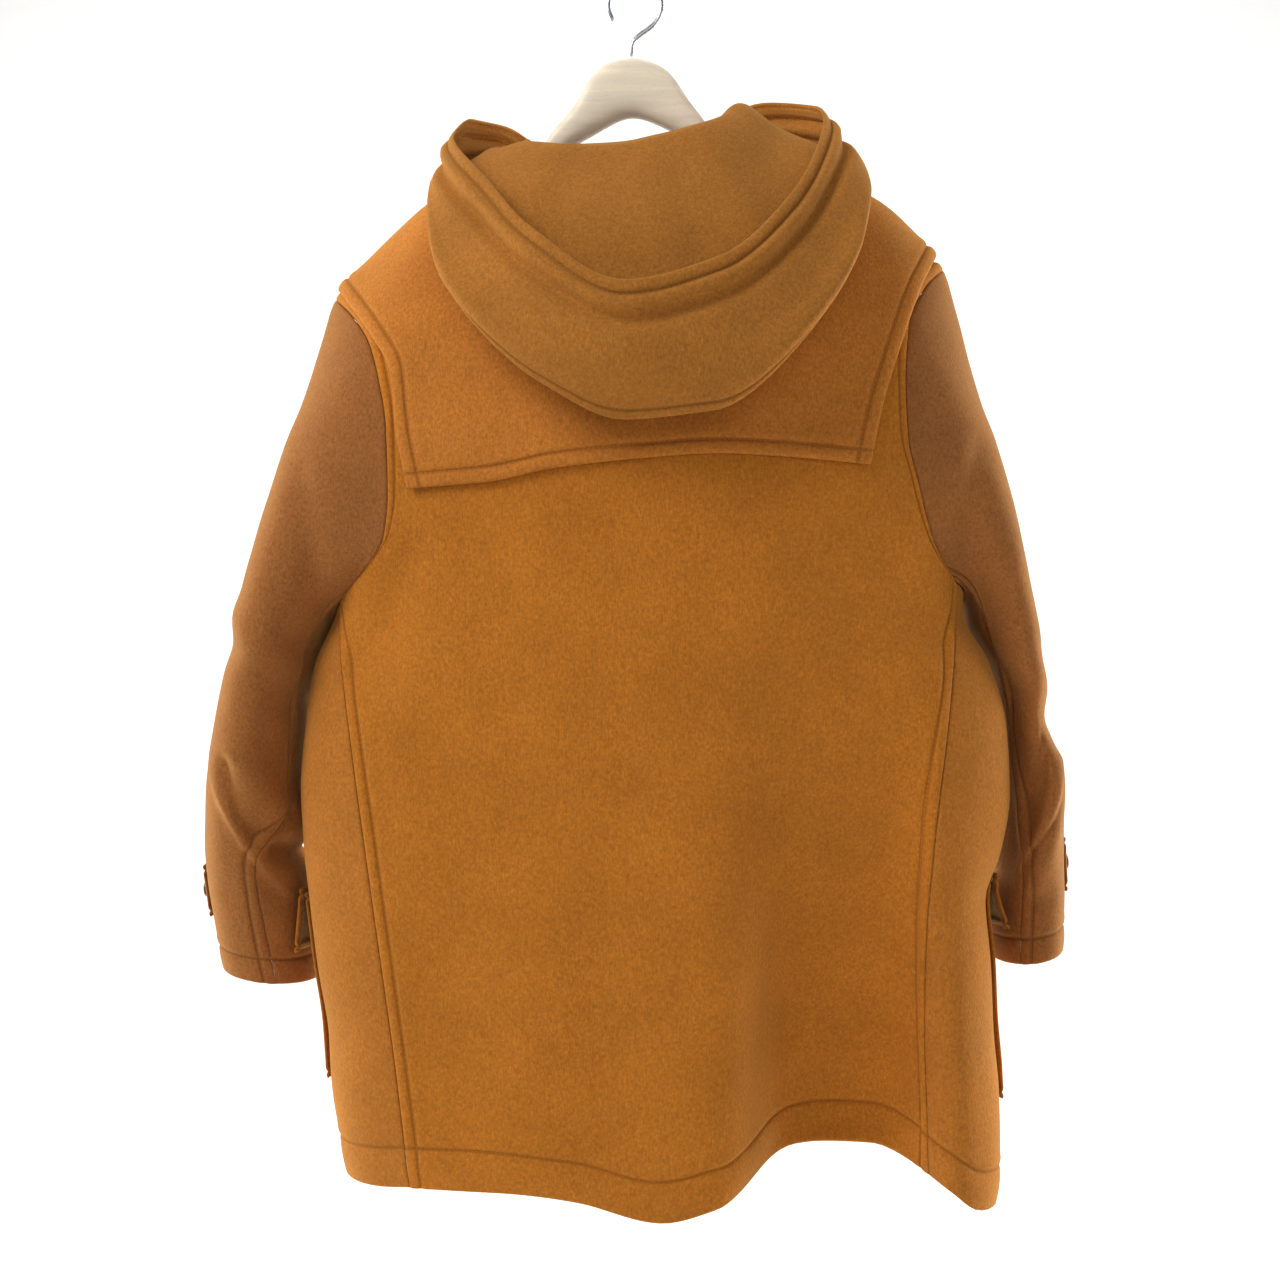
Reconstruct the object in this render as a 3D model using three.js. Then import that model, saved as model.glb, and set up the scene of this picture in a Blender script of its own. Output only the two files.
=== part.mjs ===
// Duffle coat hung by its shoulders on a wooden hanger.
// Millimetres, +Z up. The back of the coat faces -Y and the wearer's right is +X.
// The origin is the inside top of the hook, where it rests on a rail.
import * as THREE from 'three';

// Cloth and seams
const CLOTH = 3;
const SEAM_GAP = 0.3;
const LAYER_GAP = 0.9;
const SEAM_ANGLE = 0.003;

// Body of the coat
const SECTION_POWER = 2.5;
const SHOULDER_ROUND = 130;
const NECK_X = -8;
const NECK_HALF = 77;
const NECK_DROP_BACK = 36;
const NECK_DROP_FRONT = 68;
const TIP = { left: { x: -245, z: -262 }, right: { x: 252, z: -238 } };
const UNDERARM_Z = { left: -522, right: -506 };
const SEAM_TOP = 0.64;
const ARMHOLE_CORNER_Z = { left: -482, right: -464 };
const UNDERARM_ROUND = 14;
const UNDERARM_TURNS = { from: 0.4, to: 0.75, halvings: 40 };

// Fronts: where the side ends and the chest begins, by share of width and height, and the
// overlap, where the right front steps back under the left one
const SIDE_SPLIT = 0.4;
const FRONT_SPLIT = 0.6;
const CHEST_FOOT_Z = -985;
const FRONT_SIDE_HEM_X = { left: -186, right: 238 };
const OVERLAP = 34;
const FRONT_EDGE_X = { left: NECK_X + OVERLAP, right: NECK_X - OVERLAP };
const UNDERLAP = { start: 92, ramp: 46, frontY: 20 };

// Deep fold that runs down the right of the back to the hem
const TROUGH = { x: 160, top: -560, bottom: -965, halfWidth: 100, flat: 30, depth: 92 };
const BULGE = { x: 24, top: -640, bottom: -965, halfWidth: 95, depth: 10 };

// Outline of the body by height: half sections seen from behind, depths to back and front
const BODY = [
  { z: -100, left: -262, right: 280, back: 60, front: 64 },
  { z: -200, left: -262, right: 280, back: 80, front: 78 },
  { z: -300, left: -262, right: 280, back: 97, front: 92 },
  { z: -400, left: -262, right: 280, back: 106, front: 100 },
  { z: -470, left: -252, right: 270, back: 109, front: 104 },
  { z: -515, left: -242, right: 266, back: 111, front: 106 },
  { z: -560, left: -260, right: 288, back: 112, front: 108 },
  { z: -610, left: -268, right: 302, back: 113, front: 110 },
  { z: -660, left: -271, right: 304, back: 113, front: 112 },
  { z: -710, left: -269, right: 296, back: 113, front: 113 },
  { z: -750, left: -264, right: 284, back: 113, front: 114 },
  { z: -805, left: -257, right: 289, back: 114, front: 115 },
  { z: -850, left: -250, right: 291, back: 114, front: 115 },
  { z: -900, left: -246, right: 295, back: 115, front: 116 },
  { z: -950, left: -237, right: 296, back: 115, front: 117 },
  { z: -990, left: -231, right: 293, back: 115, front: 118 },
];

// Line of the shoulders, carried on over the open neck
const RIDGE = [
  { x: -275, z: -306 }, { x: -245, z: -262 }, { x: -215, z: -234 }, { x: -193, z: -212 },
  { x: -165, z: -187 }, { x: -85, z: -140 }, { x: -8, z: -101 }, { x: 69, z: -125 },
  { x: 189, z: -182 }, { x: 206, z: -194 }, { x: 228, z: -215 }, { x: 252, z: -238 },
  { x: 280, z: -275 },
];

// Hem of the back, hanging in waves
const HEM_BACK = [
  { x: -235, z: -968 }, { x: -200, z: -964 }, { x: -165, z: -959 }, { x: -100, z: -957 },
  { x: -45, z: -961 }, { x: 20, z: -973 }, { x: 62, z: -964 }, { x: 85, z: -957 },
  { x: 110, z: -950 }, { x: 150, z: -944 }, { x: 190, z: -946 }, { x: 218, z: -953 },
  { x: 245, z: -968 }, { x: 270, z: -986 }, { x: 296, z: -993 },
];

// Hem of the fronts, nearly level, and the height at which the sides are measured for it
const HEM_FRONT = [{ x: -235, z: -976 }, { x: 295, z: -984 }];
const SIDE_HEM_Z = -976;

// Armhole edges by height, the same on back and front
const ARMHOLE = {
  left: [
    { z: -522, x: -243 }, { z: -505, x: -229 }, { z: -484, x: -208 }, { z: -463, x: -194 },
    { z: -430, x: -190 }, { z: -375, x: -192 }, { z: -340, x: -198 }, { z: -310, x: -207 },
    { z: -285, x: -223 }, { z: -262, x: -245 },
  ],
  right: [
    { z: -506, x: 266 }, { z: -490, x: 249 }, { z: -470, x: 235 }, { z: -450, x: 227 },
    { z: -420, x: 219 }, { z: -388, x: 211 }, { z: -342, x: 209 }, { z: -295, x: 213 },
    { z: -262, x: 229 }, { z: -238, x: 252 },
  ],
};

// Felled seams between back and fronts
const SIDE_SEAM = {
  left: [
    { z: -990, x: -168 }, { z: -953, x: -173 }, { z: -873, x: -183 }, { z: -760, x: -199 },
    { z: -685, x: -210 }, { z: -598, x: -223 }, { z: -514, x: -236 },
  ],
  right: [
    { z: -990, x: 231 }, { z: -963, x: 230 }, { z: -820, x: 226 }, { z: -698, x: 231 },
    { z: -617, x: 240 }, { z: -497, x: 256 },
  ],
};

// Shoulder yoke: lower corners, lower edge and side edges on the back, plain on the front
const YOKE_EDGE = [
  { x: -172, z: -425 }, { x: -111, z: -421 }, { x: -60, z: -411 }, { x: 4, z: -404 },
  { x: 63, z: -400 }, { x: 112, z: -402 }, { x: 178, z: -407 },
];
const YOKE_SIDE = {
  left: [
    { z: -425, x: -172 }, { z: -380, x: -182 }, { z: -334, x: -187 }, { z: -303, x: -204 },
    { z: -259, x: -238 },
  ],
  right: [
    { z: -407, x: 178 }, { z: -359, x: 189 }, { z: -321, x: 201 }, { z: -268, x: 221 },
    { z: -229, x: 243 },
  ],
};
const YOKE_TIP = { left: -238, right: 243 };
const YOKE_FRONT_Z = { left: -312, right: -300 };
const YOKE_FRONT_X = { outer: { left: -184, right: 196 }, inner: { left: -96, right: 84 } };
const YOKE_OFF_NECK = 3;
const YOKE_CLOTH = 3.4;
const YOKE_GAP = 1.6;

// Sleeves: outer and inner points of each ring, its depth and how far forward it hangs
const SLEEVE = {
  left: [
    { w: 0, ox: -249, oz: -266, ix: -244, iz: -520, y: 0, b: 74 },
    { w: 0.06, ox: -262, oz: -302, ix: -248, iz: -526, y: 2, b: 78 },
    { w: 0.14, ox: -277, oz: -360, ix: -254, iz: -536, y: 4, b: 80 },
    { w: 0.26, ox: -300, oz: -440, ix: -262, iz: -553, y: 7, b: 80 },
    { w: 0.4, ox: -326, oz: -525, ix: -269, iz: -588, y: 12, b: 77 },
    { w: 0.54, ox: -345, oz: -604, ix: -275, iz: -632, y: 20, b: 73 },
    { w: 0.68, ox: -357, oz: -668, ix: -276, iz: -683, y: 32, b: 68 },
    { w: 0.8, ox: -361, oz: -722, ix: -276, iz: -733, y: 45, b: 62 },
    { w: 0.9, ox: -358, oz: -772, ix: -274, iz: -782, y: 56, b: 57 },
    { w: 1, ox: -351, oz: -818, ix: -271, iz: -828, y: 62, b: 54 },
  ],
  right: [
    { w: 0, ox: 256, oz: -243, ix: 267, iz: -504, y: 0, b: 74 },
    { w: 0.06, ox: 268, oz: -280, ix: 275, iz: -509, y: 4, b: 78 },
    { w: 0.14, ox: 281, oz: -334, ix: 280, iz: -518, y: 10, b: 80 },
    { w: 0.26, ox: 302, oz: -413, ix: 285, iz: -538, y: 20, b: 80 },
    { w: 0.4, ox: 323, oz: -506, ix: 297, iz: -573, y: 32, b: 78 },
    { w: 0.54, ox: 340, oz: -588, ix: 306, iz: -618, y: 42, b: 75 },
    { w: 0.68, ox: 355, oz: -655, ix: 308, iz: -672, y: 50, b: 71 },
    { w: 0.8, ox: 361, oz: -707, ix: 303, iz: -720, y: 56, b: 67 },
    { w: 0.9, ox: 364, oz: -756, ix: 302, iz: -768, y: 60, b: 63 },
    { w: 1, ox: 363, oz: -800, ix: 305, iz: -811, y: 62, b: 60 },
  ],
};
const SLEEVE_JOIN = 0.3;
const SLEEVE_SHRINK = 0.99;
const SLEEVE_OFF_BODY = { top: 0.7, low: 3.2, drop: 190 };
const SLEEVE_SEAM_GAP = 0.003;
const SLEEVE_FRONT_SEAM = 0.68;
const SLEEVE_BACK_SEAM = {
  left: [
    { w: 0, turn: 0.42 }, { w: 0.5, turn: 0.43 }, { w: 0.66, turn: 0.41 },
    { w: 0.8, turn: 0.29 }, { w: 1, turn: 0.31 },
  ],
  right: [
    { w: 0, turn: 0.42 }, { w: 0.5, turn: 0.42 }, { w: 0.7, turn: 0.38 },
    { w: 0.85, turn: 0.33 }, { w: 1, turn: 0.34 },
  ],
};
const ELBOW = { outer: 0.58, inner: 0.86, depth: 8, above: 0.15, below: 0.035 };

// Hood by direction round the neck: neck seam is taken from the body, then the roll,
// the layer on the back, the lower fold, the crown side and the free face edge
const HOOD = [
  { turn: -158, rollR: 74, rollZ: -186, farR: 77, farZ: -176, foldR: 80, foldZ: -170,
    nearR: 82, nearZ: -162, edgeR: 83, edgeZ: -152 },
  { turn: -135, rollR: 84, rollZ: -150, farR: 89, farZ: -144, foldR: 94, foldZ: -140,
    nearR: 99, nearZ: -130, edgeR: 101, edgeZ: -117 },
  { turn: -112, rollR: 88, rollZ: -130, farR: 97, farZ: -130, foldR: 106, foldZ: -135,
    nearR: 111, nearZ: -125, edgeR: 107, edgeZ: -107 },
  { turn: -92, rollR: 91, rollZ: -140, farR: 108, farZ: -138, foldR: 131, foldZ: -158,
    nearR: 137, nearZ: -142, edgeR: 127, edgeZ: -111 },
  { turn: -82, rollR: 90, rollZ: -141, farR: 111, farZ: -146, foldR: 144, foldZ: -168,
    nearR: 150, nearZ: -158, edgeR: 137, edgeZ: -126 },
  { turn: -72, rollR: 88, rollZ: -143, farR: 114, farZ: -156, foldR: 156, foldZ: -192,
    nearR: 160, nearZ: -176, edgeR: 143, edgeZ: -143 },
  { turn: -48, rollR: 78, rollZ: -151, farR: 119, farZ: -200, foldR: 166, foldZ: -284,
    nearR: 171, nearZ: -250, edgeR: 144, edgeZ: -186 },
  { turn: -24, rollR: 67, rollZ: -154, farR: 112, farZ: -232, foldR: 153, foldZ: -350,
    nearR: 172, nearZ: -310, edgeR: 158, edgeZ: -241 },
  { turn: 0, rollR: 62, rollZ: -152, farR: 109, farZ: -240, foldR: 143, foldZ: -379,
    nearR: 170, nearZ: -340, edgeR: 168, edgeZ: -282 },
  { turn: 24, rollR: 68, rollZ: -147, farR: 115, farZ: -232, foldR: 163, foldZ: -373,
    nearR: 180, nearZ: -325, edgeR: 168, edgeZ: -262 },
  { turn: 48, rollR: 80, rollZ: -136, farR: 126, farZ: -196, foldR: 190, foldZ: -303,
    nearR: 193, nearZ: -268, edgeR: 166, edgeZ: -207 },
  { turn: 70, rollR: 91, rollZ: -120, farR: 126, farZ: -152, foldR: 194, foldZ: -207,
    nearR: 196, nearZ: -180, edgeR: 163, edgeZ: -146 },
  { turn: 81, rollR: 94, rollZ: -108, farR: 126, farZ: -132, foldR: 184, foldZ: -163,
    nearR: 186, nearZ: -146, edgeR: 162, edgeZ: -120 },
  { turn: 92, rollR: 95, rollZ: -107, farR: 124, farZ: -122, foldR: 168, foldZ: -150,
    nearR: 171, nearZ: -130, edgeR: 158, edgeZ: -100 },
  { turn: 114, rollR: 90, rollZ: -112, farR: 104, farZ: -112, foldR: 124, foldZ: -122,
    nearR: 129, nearZ: -108, edgeR: 121, edgeZ: -84 },
  { turn: 136, rollR: 84, rollZ: -138, farR: 91, farZ: -134, foldR: 98, foldZ: -130,
    nearR: 103, nearZ: -118, edgeR: 103, edgeZ: -97 },
  { turn: 158, rollR: 74, rollZ: -184, farR: 77, farZ: -174, foldR: 80, foldZ: -166,
    nearR: 82, nearZ: -156, edgeR: 83, edgeZ: -142 },
];
const HOOD_LEVELS = {
  seam: 0, roll: 0.12, far: 0.3, before: 0.5, fold: 0.56, after: 0.62, near: 0.72, edge: 1,
};
const HOOD_FOLD = { inR: -15, inZ: 26, outR: 15, outZ: 14, shallow: 20, deep: 80, share: 0.5 };
const HOOD_RISE = 2.4;
const HOOD_NORMAL_SPAN = 12;
const HOOD_SPEED_STEP = 0.01;
const HOOD_SEAM_GAP = 0.8;
const HOOD_ROWS = {
  under: [0, 0.11, 0.22, 0.36, 0.53, 0.71, 0.87, 1],
  outer: [0, 0.14, 0.28, 0.42, 0.6, 0.8, 1],
};

// Patch pockets and their flaps on the fronts
const POCKET = {
  left: { top: -747, bottom: -900, inner: -86 },
  right: { top: -733, bottom: -918, inner: 100 },
};
const POCKET_SIDE_ANGLE = Math.PI / 2 + 0.02;
const POCKET_EDGE_LIFT = 3;
const POCKET_GAP = 1.8;
const POCKET_EDGE_SHARE = 1 / 3;
const FLAP = { height: 52, stand: 11, standShare: 0.625, above: 4 };

// Cuff tabs with a button
const TAB = {
  left: { top: 0.815, bottom: 0.905 },
  right: { top: 0.8, bottom: 0.895 },
};
const TAB_TURN = { front: -0.15, back: 0.03 };
const BUTTON = { radius: 7.5, faceRadius: 6, thickness: 4, bevel: 1, off: 0.6, turn: -0.012 };

// Front fastening
const TOGGLE_Z = [-362, -480, -598];
const TOGGLE = { x: 18, half: 28, radius: 7, endRadius: 4.5 };
const PATCH = { inner: 62, outer: 98, half: 19, thickness: 2 };
const PATCH_RIGHT_SHIFT = 34;
const PATCH_HOLD = 14;
const CORD = { radius: 2, off: 0.5 };

// Routes of the cords from their patch to the toggle, one leg of two: x from the end or the
// toggle, dz from the middle, what is passed over, and a small rise on the way
const TIE_ROUTE = [
  { from: 'end', x: 0, dz: 5, over: 'patch', rise: 0 },
  { from: 'end', x: -12, dz: 5, over: 'patch', rise: 0 },
  { from: 'end', x: -22, dz: 5, over: 'front', rise: 0 },
  { from: 'toggle', x: 14, dz: 5, over: 'front', rise: 0 },
  { from: 'toggle', x: 0, dz: 0, over: 'front', rise: 0 },
];
const LOOP_ROUTE = [
  { from: 'end', x: 0, dz: 11, over: 'patch', rise: 0 },
  { from: 'end', x: 12, dz: 11, over: 'patch', rise: 0 },
  { from: 'end', x: 24, dz: 11, over: 'front', rise: 0 },
  { from: 'toggle', x: -30, dz: 11, over: 'front', rise: 0 },
  { from: 'toggle', x: -20, dz: 11, over: 'front', rise: 1 },
  { from: 'toggle', x: -9, dz: 11, over: 'middle', rise: -2 },
  { from: 'toggle', x: -3, dz: 7, over: 'toggle', rise: -2 },
  { from: 'toggle', x: -2, dz: 0, over: 'toggle', rise: 0 },
];

// Hanger: contoured wooden arms, by position along the bar
const HANGER = [
  { x: -226, top: -254, bottom: -268, half: 9 },
  { x: -219, top: -246, bottom: -274, half: 17 },
  { x: -196, top: -222, bottom: -258, half: 20 },
  { x: -165, top: -196, bottom: -233, half: 19 },
  { x: -125, top: -171, bottom: -205, half: 16 },
  { x: -92, top: -151, bottom: -179, half: 13 },
  { x: -80, top: -147, bottom: -168, half: 12 },
  { x: -71, top: -127, bottom: -153, half: 12 },
  { x: -62, top: -117, bottom: -145, half: 12 },
  { x: -51, top: -105, bottom: -136, half: 12 },
  { x: -42, top: -88, bottom: -131, half: 12 },
  { x: -34, top: -74, bottom: -127, half: 12 },
  { x: -21, top: -65, bottom: -119, half: 12 },
  { x: -3, top: -62, bottom: -110, half: 12 },
  { x: 16, top: -66, bottom: -117, half: 12 },
  { x: 31, top: -76, bottom: -124, half: 12 },
  { x: 42, top: -97, bottom: -131, half: 12 },
  { x: 57, top: -114, bottom: -141, half: 12 },
  { x: 66, top: -132, bottom: -153, half: 12 },
  { x: 80, top: -144, bottom: -165, half: 13 },
  { x: 110, top: -148, bottom: -177, half: 16 },
  { x: 150, top: -168, bottom: -204, half: 19 },
  { x: 190, top: -191, bottom: -228, half: 20 },
  { x: 222, top: -220, bottom: -249, half: 17 },
  { x: 231, top: -231, bottom: -245, half: 9 },
];
const HANGER_POWER = 2.6;
const HOOK = { wire: 2, radius: 22, from: -1, to: 3.75 };
const HOOK_STEM = [
  { x: -3, z: -61.6 }, { x: -3, z: -53.6 }, { x: -1, z: -48.6 }, { x: 7.04, z: -41.56 },
];

// Steps of each surface, and sides of each round solid
const ROWS = { low: 13, even: 4, round: 7, evenShare: 0.5 };
const BACK_COLUMNS = { shoulder: 6, neck: 8 };
const FRONT_COLUMNS = { side: 8, shoulder: 5, neck: 6 };
const YOKE_ROWS = {
  back: { evenShare: 0.45, even: 4, round: 7 },
  front: { evenShare: 0.2, even: 1, round: 7 },
};
const YOKE_FRONT_COLUMNS = 8;
const SLEEVE_STEPS = { along: 15, upper: 18, under: 7 };
const TAB_STEPS = { around: 4, along: 2 };
const HOOD_COLUMNS = 28;
const POCKET_STEPS = { across: 8, up: 6, flap: 3 };
const PATCH_STEPS = { across: 3, up: 2 };
const TOGGLE_STEPS = { along: 6, sides: 10 };
const CORD_STEPS = { tie: 16, loop: 24, sides: 6 };
const HOOK_STEPS = { bend: 12, along: 26, sides: 8 };
const BUTTON_SIDES = 12;
const HANGER_SIDES = 14;

// Share of a surface over which its slope is taken
const SLOPE_STEP = 1e-3;

const wool = { color: 0xa8690f, roughness: 0.95, metalness: 0 };
const MATERIALS = {
  back: wool,
  front: { ...wool, color: 0xa06210 },
  yoke: { ...wool, color: 0xb07014 },
  sleeve: { ...wool, color: 0x985c14 },
  hood: { ...wool, color: 0xb57718 },
  pocket: { ...wool, color: 0xa86a18 },
  flap: { ...wool, color: 0x9c7238 },
  button: { color: 0x4a3220, roughness: 0.4, metalness: 0 },
  patch: { color: 0x5b3a1e, roughness: 0.6, metalness: 0 },
  cord: { color: 0x6b4a26, roughness: 0.8, metalness: 0 },
  toggle: { color: 0x7a5230, roughness: 0.5, metalness: 0 },
  beech: { color: 0xd9b98a, roughness: 0.5, metalness: 0 },
  steel: { color: 0xb9bcc0, roughness: 0.3, metalness: 1 },
};

const group = new THREE.Group();
const SIDES = ['left', 'right'];
const signOf = (side) => (side === 'left' ? -1 : 1);
const lerp = THREE.MathUtils.lerp;
const clamp = THREE.MathUtils.clamp;
const smooth = (t) => THREE.MathUtils.smoothstep(t, 0, 1);
const point = (x, y, z) => new THREE.Vector3(x, y, z);

// Smooth curve through the rows of a table, held at its ends
function follow(rows, key, name, at) {
  const up = rows[rows.length - 1][key] > rows[0][key];
  const list = up ? rows : [...rows].reverse();
  const last = list.length - 1;
  if (at <= list[0][key]) return list[0][name];
  if (at >= list[last][key]) return list[last][name];
  let k = 0;
  while (at > list[k + 1][key]) k += 1;
  const step = (a, b) => (list[b][name] - list[a][name]) / (list[b][key] - list[a][key]);
  const slope = (i) => {
    if (i === 0) return step(0, 1);
    if (i === last) return step(last - 1, last);
    const before = step(i - 1, i);
    const after = step(i, i + 1);
    return before * after <= 0 ? 0 : (2 * before * after) / (before + after);
  };
  const width = list[k + 1][key] - list[k][key];
  const t = (at - list[k][key]) / width;
  const t2 = t * t;
  const t3 = t2 * t;
  return (2 * t3 - 3 * t2 + 1) * list[k][name] + (t3 - 2 * t2 + t) * width * slope(k)
    + (3 * t2 - 2 * t3) * list[k + 1][name] + (t3 - t2) * width * slope(k + 1);
}

const ridgeZ = (x) => follow(RIDGE, 'x', 'z', x);
const bodyRow = (z, name) => follow(BODY, 'z', name, z);
const signedPower = (value, power) => Math.sign(value) * Math.abs(value) ** power;

// Soft bell, 1 in the middle and 0 from halfWidth out
function bell(distance, halfWidth) {
  const t = clamp(Math.abs(distance) / halfWidth, 0, 1);
  return (1 + Math.cos(Math.PI * t)) / 2;
}

// How far the back is pushed forward by its folds
function backFold(x, z) {
  const deepen = smooth((TROUGH.top - z) / (TROUGH.top - TROUGH.bottom));
  const swell = smooth((BULGE.top - z) / (BULGE.top - BULGE.bottom));
  const wall = Math.max(0, Math.abs(x - TROUGH.x) - TROUGH.flat);
  return TROUGH.depth * deepen * bell(wall, TROUGH.halfWidth - TROUGH.flat)
    - BULGE.depth * swell * bell(x - BULGE.x, BULGE.halfWidth);
}

// Outer face of the coat's body: angle 0 is the middle of the back, PI the middle of the front
function bodyPoint(angle, z) {
  const left = bodyRow(z, 'left');
  const right = bodyRow(z, 'right');
  const power = 2 / SECTION_POWER;
  const x = (left + right) / 2 + ((right - left) / 2) * signedPower(Math.sin(angle), power);
  const rise = clamp((ridgeZ(x) - z) / SHOULDER_ROUND, 0, 1);
  const round = Math.sqrt(1 - (1 - rise) ** 2);
  const across = signedPower(Math.cos(angle), power);
  const depth = across > 0 ? bodyRow(z, 'back') : bodyRow(z, 'front');
  const fold = across > 0 ? backFold(x, z) * across : 0;
  return point(x, -depth * across * round + fold, z);
}

// Angle of the body surface at a given x, on the back or the front
function angleAt(x, z, front) {
  const left = bodyRow(z, 'left');
  const right = bodyRow(z, 'right');
  const s = clamp((x - (left + right) / 2) / ((right - left) / 2), -1, 1);
  const angle = Math.asin(signedPower(s, SECTION_POWER / 2));
  if (!front) return angle;
  return s < 0 ? -Math.PI - angle : Math.PI - angle;
}

const edgeX = (table, side, z) => follow(table[side], 'z', 'x', z);

// Height of the top edge: shoulder line outside the neck, scooped inside it
function topZ(x, drop) {
  const t = (x - NECK_X) / NECK_HALF;
  if (Math.abs(t) >= 1) return ridgeZ(x);
  const line = lerp(ridgeZ(NECK_X - NECK_HALF), ridgeZ(NECK_X + NECK_HALF), (t + 1) / 2);
  return line - drop * Math.sqrt(1 - t * t);
}

const hemZ = (x) => follow(HEM_BACK, 'x', 'z', x);
const frontHemZ = (x) => follow(HEM_FRONT, 'x', 'z', x);

// Hem height round a side: the waves of the back to the silhouette, then level to the front
function sideHemZ(side, angle) {
  const { x } = bodyPoint(angle, SIDE_HEM_Z);
  const past = Math.abs(angle) - Math.PI / 2;
  if (past < 0) return hemZ(x);
  const outermost = side === 'left' ? HEM_BACK[0] : HEM_BACK[HEM_BACK.length - 1];
  return lerp(outermost.z, frontHemZ(x), smooth(past));
}

// Armhole as a closed loop on the body: turn 0 is the shoulder tip, then back, underarm, front
function armhole(side, turn) {
  const t = turn - Math.floor(turn);
  const z = lerp(TIP[side].z, UNDERARM_Z[side], (1 - Math.cos(2 * Math.PI * t)) / 2);
  const near = smooth((z - UNDERARM_Z[side]) / UNDERARM_ROUND);
  const x = lerp(bodyRow(z, side), edgeX(ARMHOLE, side, z), near);
  const angle = angleAt(x, z, t > 0.5);
  return { angle, z, place: bodyPoint(angle, z) };
}

const count = (n) => Array.from({ length: n + 1 }, (_, i) => i / n);
const turns = (n) => Array.from({ length: n }, (_, i) => (2 * Math.PI * i) / n);

// Rows of a panel, even up to a share of its height and then finer over the shoulder
function shoulderRows({ evenShare, even, round }) {
  const low = count(even).map((t) => t * evenShare);
  const fromTop = count(round).slice(1).map((t) => 1 - Math.cos((Math.PI / 2) * (1 - t)));
  return [...low, ...fromTop.map((t) => 1 - (1 - evenShare) * t)];
}

function addMesh(name, positions, faces, material) {
  const geometry = new THREE.BufferGeometry();
  geometry.setAttribute('position', new THREE.Float32BufferAttribute(positions, 3));
  geometry.setIndex(faces);
  geometry.computeVertexNormals();
  const mesh = new THREE.Mesh(geometry, new THREE.MeshStandardMaterial(MATERIALS[material]));
  mesh.name = name;
  group.add(mesh);
}

// Closed cloth wall on a surface at(u, v), with u and v from 0 to 1 unless u wraps round.
// lift moves its outer face out, keep leaves out cells, flip turns the outside round, and
// normal replaces the wall's own normals.
function wall(name, material, at, us, vs, options = {}) {
  const { lift = () => 0, thickness = CLOTH, flip = false, wraps = false } = options;
  const { keep = () => true, normal } = options;
  const columns = us.length;
  const rows = vs.length;
  const positions = [];
  const faces = [];
  const normalAt = (u, v) => {
    const u0 = wraps ? u - SLOPE_STEP : Math.max(u - SLOPE_STEP, 0);
    const u1 = wraps ? u + SLOPE_STEP : Math.min(u + SLOPE_STEP, 1);
    const v0 = Math.max(v - SLOPE_STEP, 0);
    const v1 = Math.min(v + SLOPE_STEP, 1);
    const du = at(u1, v).sub(at(u0, v));
    const dv = at(u, v1).sub(at(u, v0));
    const across = du.cross(dv).normalize();
    return flip ? across.negate() : across;
  };
  const outward = normal ?? normalAt;
  for (const layer of [0, 1]) {
    for (const v of vs) {
      for (const u of us) {
        const out = lift(u, v) - (layer === 1 ? thickness : 0);
        const place = at(u, v).addScaledVector(outward(u, v), out);
        positions.push(place.x, place.y, place.z);
      }
    }
  }
  const index = (layer, i, j) => layer * columns * rows + j * columns + i;
  const kept = (i, j) => i >= 0 && i < columns - 1 && j >= 0 && j < rows - 1 && keep(i, j);
  const quad = (a, b, c, d) => {
    if (flip) faces.push(a, c, b, a, d, c);
    else faces.push(a, b, c, a, c, d);
  };
  for (let j = 0; j < rows - 1; j += 1) {
    for (let i = 0; i < columns - 1; i += 1) {
      if (!kept(i, j)) continue;
      const o = [index(0, i, j), index(0, i + 1, j), index(0, i + 1, j + 1), index(0, i, j + 1)];
      const n = [index(1, i, j), index(1, i + 1, j), index(1, i + 1, j + 1), index(1, i, j + 1)];
      quad(o[0], o[1], o[2], o[3]);
      quad(n[3], n[2], n[1], n[0]);
      if (!kept(i, j - 1)) quad(n[0], n[1], o[1], o[0]);
      if (!kept(i + 1, j)) quad(n[1], n[2], o[2], o[1]);
      if (!kept(i, j + 1)) quad(n[2], n[3], o[3], o[2]);
      if (!kept(i - 1, j)) quad(n[3], n[0], o[0], o[3]);
    }
  }
  const used = new Map();
  const packed = [];
  const remapped = faces.map((old) => {
    if (!used.has(old)) {
      used.set(old, packed.length / 3);
      packed.push(positions[3 * old], positions[3 * old + 1], positions[3 * old + 2]);
    }
    return used.get(old);
  });
  addMesh(name, packed, remapped, material);
}

// Solid through closed rings of points, with a fan at each end
function loft(name, material, rings) {
  const sides = rings[0].length;
  const positions = [];
  const faces = [];
  for (const ring of rings) {
    for (const place of ring) positions.push(place.x, place.y, place.z);
  }
  for (let k = 0; k < rings.length - 1; k += 1) {
    for (let i = 0; i < sides; i += 1) {
      const a = k * sides + i;
      const b = k * sides + ((i + 1) % sides);
      faces.push(a, b, b + sides, a, b + sides, a + sides);
    }
  }
  const ends = [[rings[0], 0, true], [rings[rings.length - 1], (rings.length - 1) * sides, false]];
  for (const [ring, start, first] of ends) {
    const middle = ring.reduce((sum, place) => sum.add(place), point(0, 0, 0)).divideScalar(sides);
    const centre = positions.length / 3;
    positions.push(middle.x, middle.y, middle.z);
    for (let i = 0; i < sides; i += 1) {
      const a = start + i;
      const b = start + ((i + 1) % sides);
      if (first) faces.push(centre, b, a);
      else faces.push(centre, a, b);
    }
  }
  addMesh(name, positions, faces, material);
}

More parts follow.
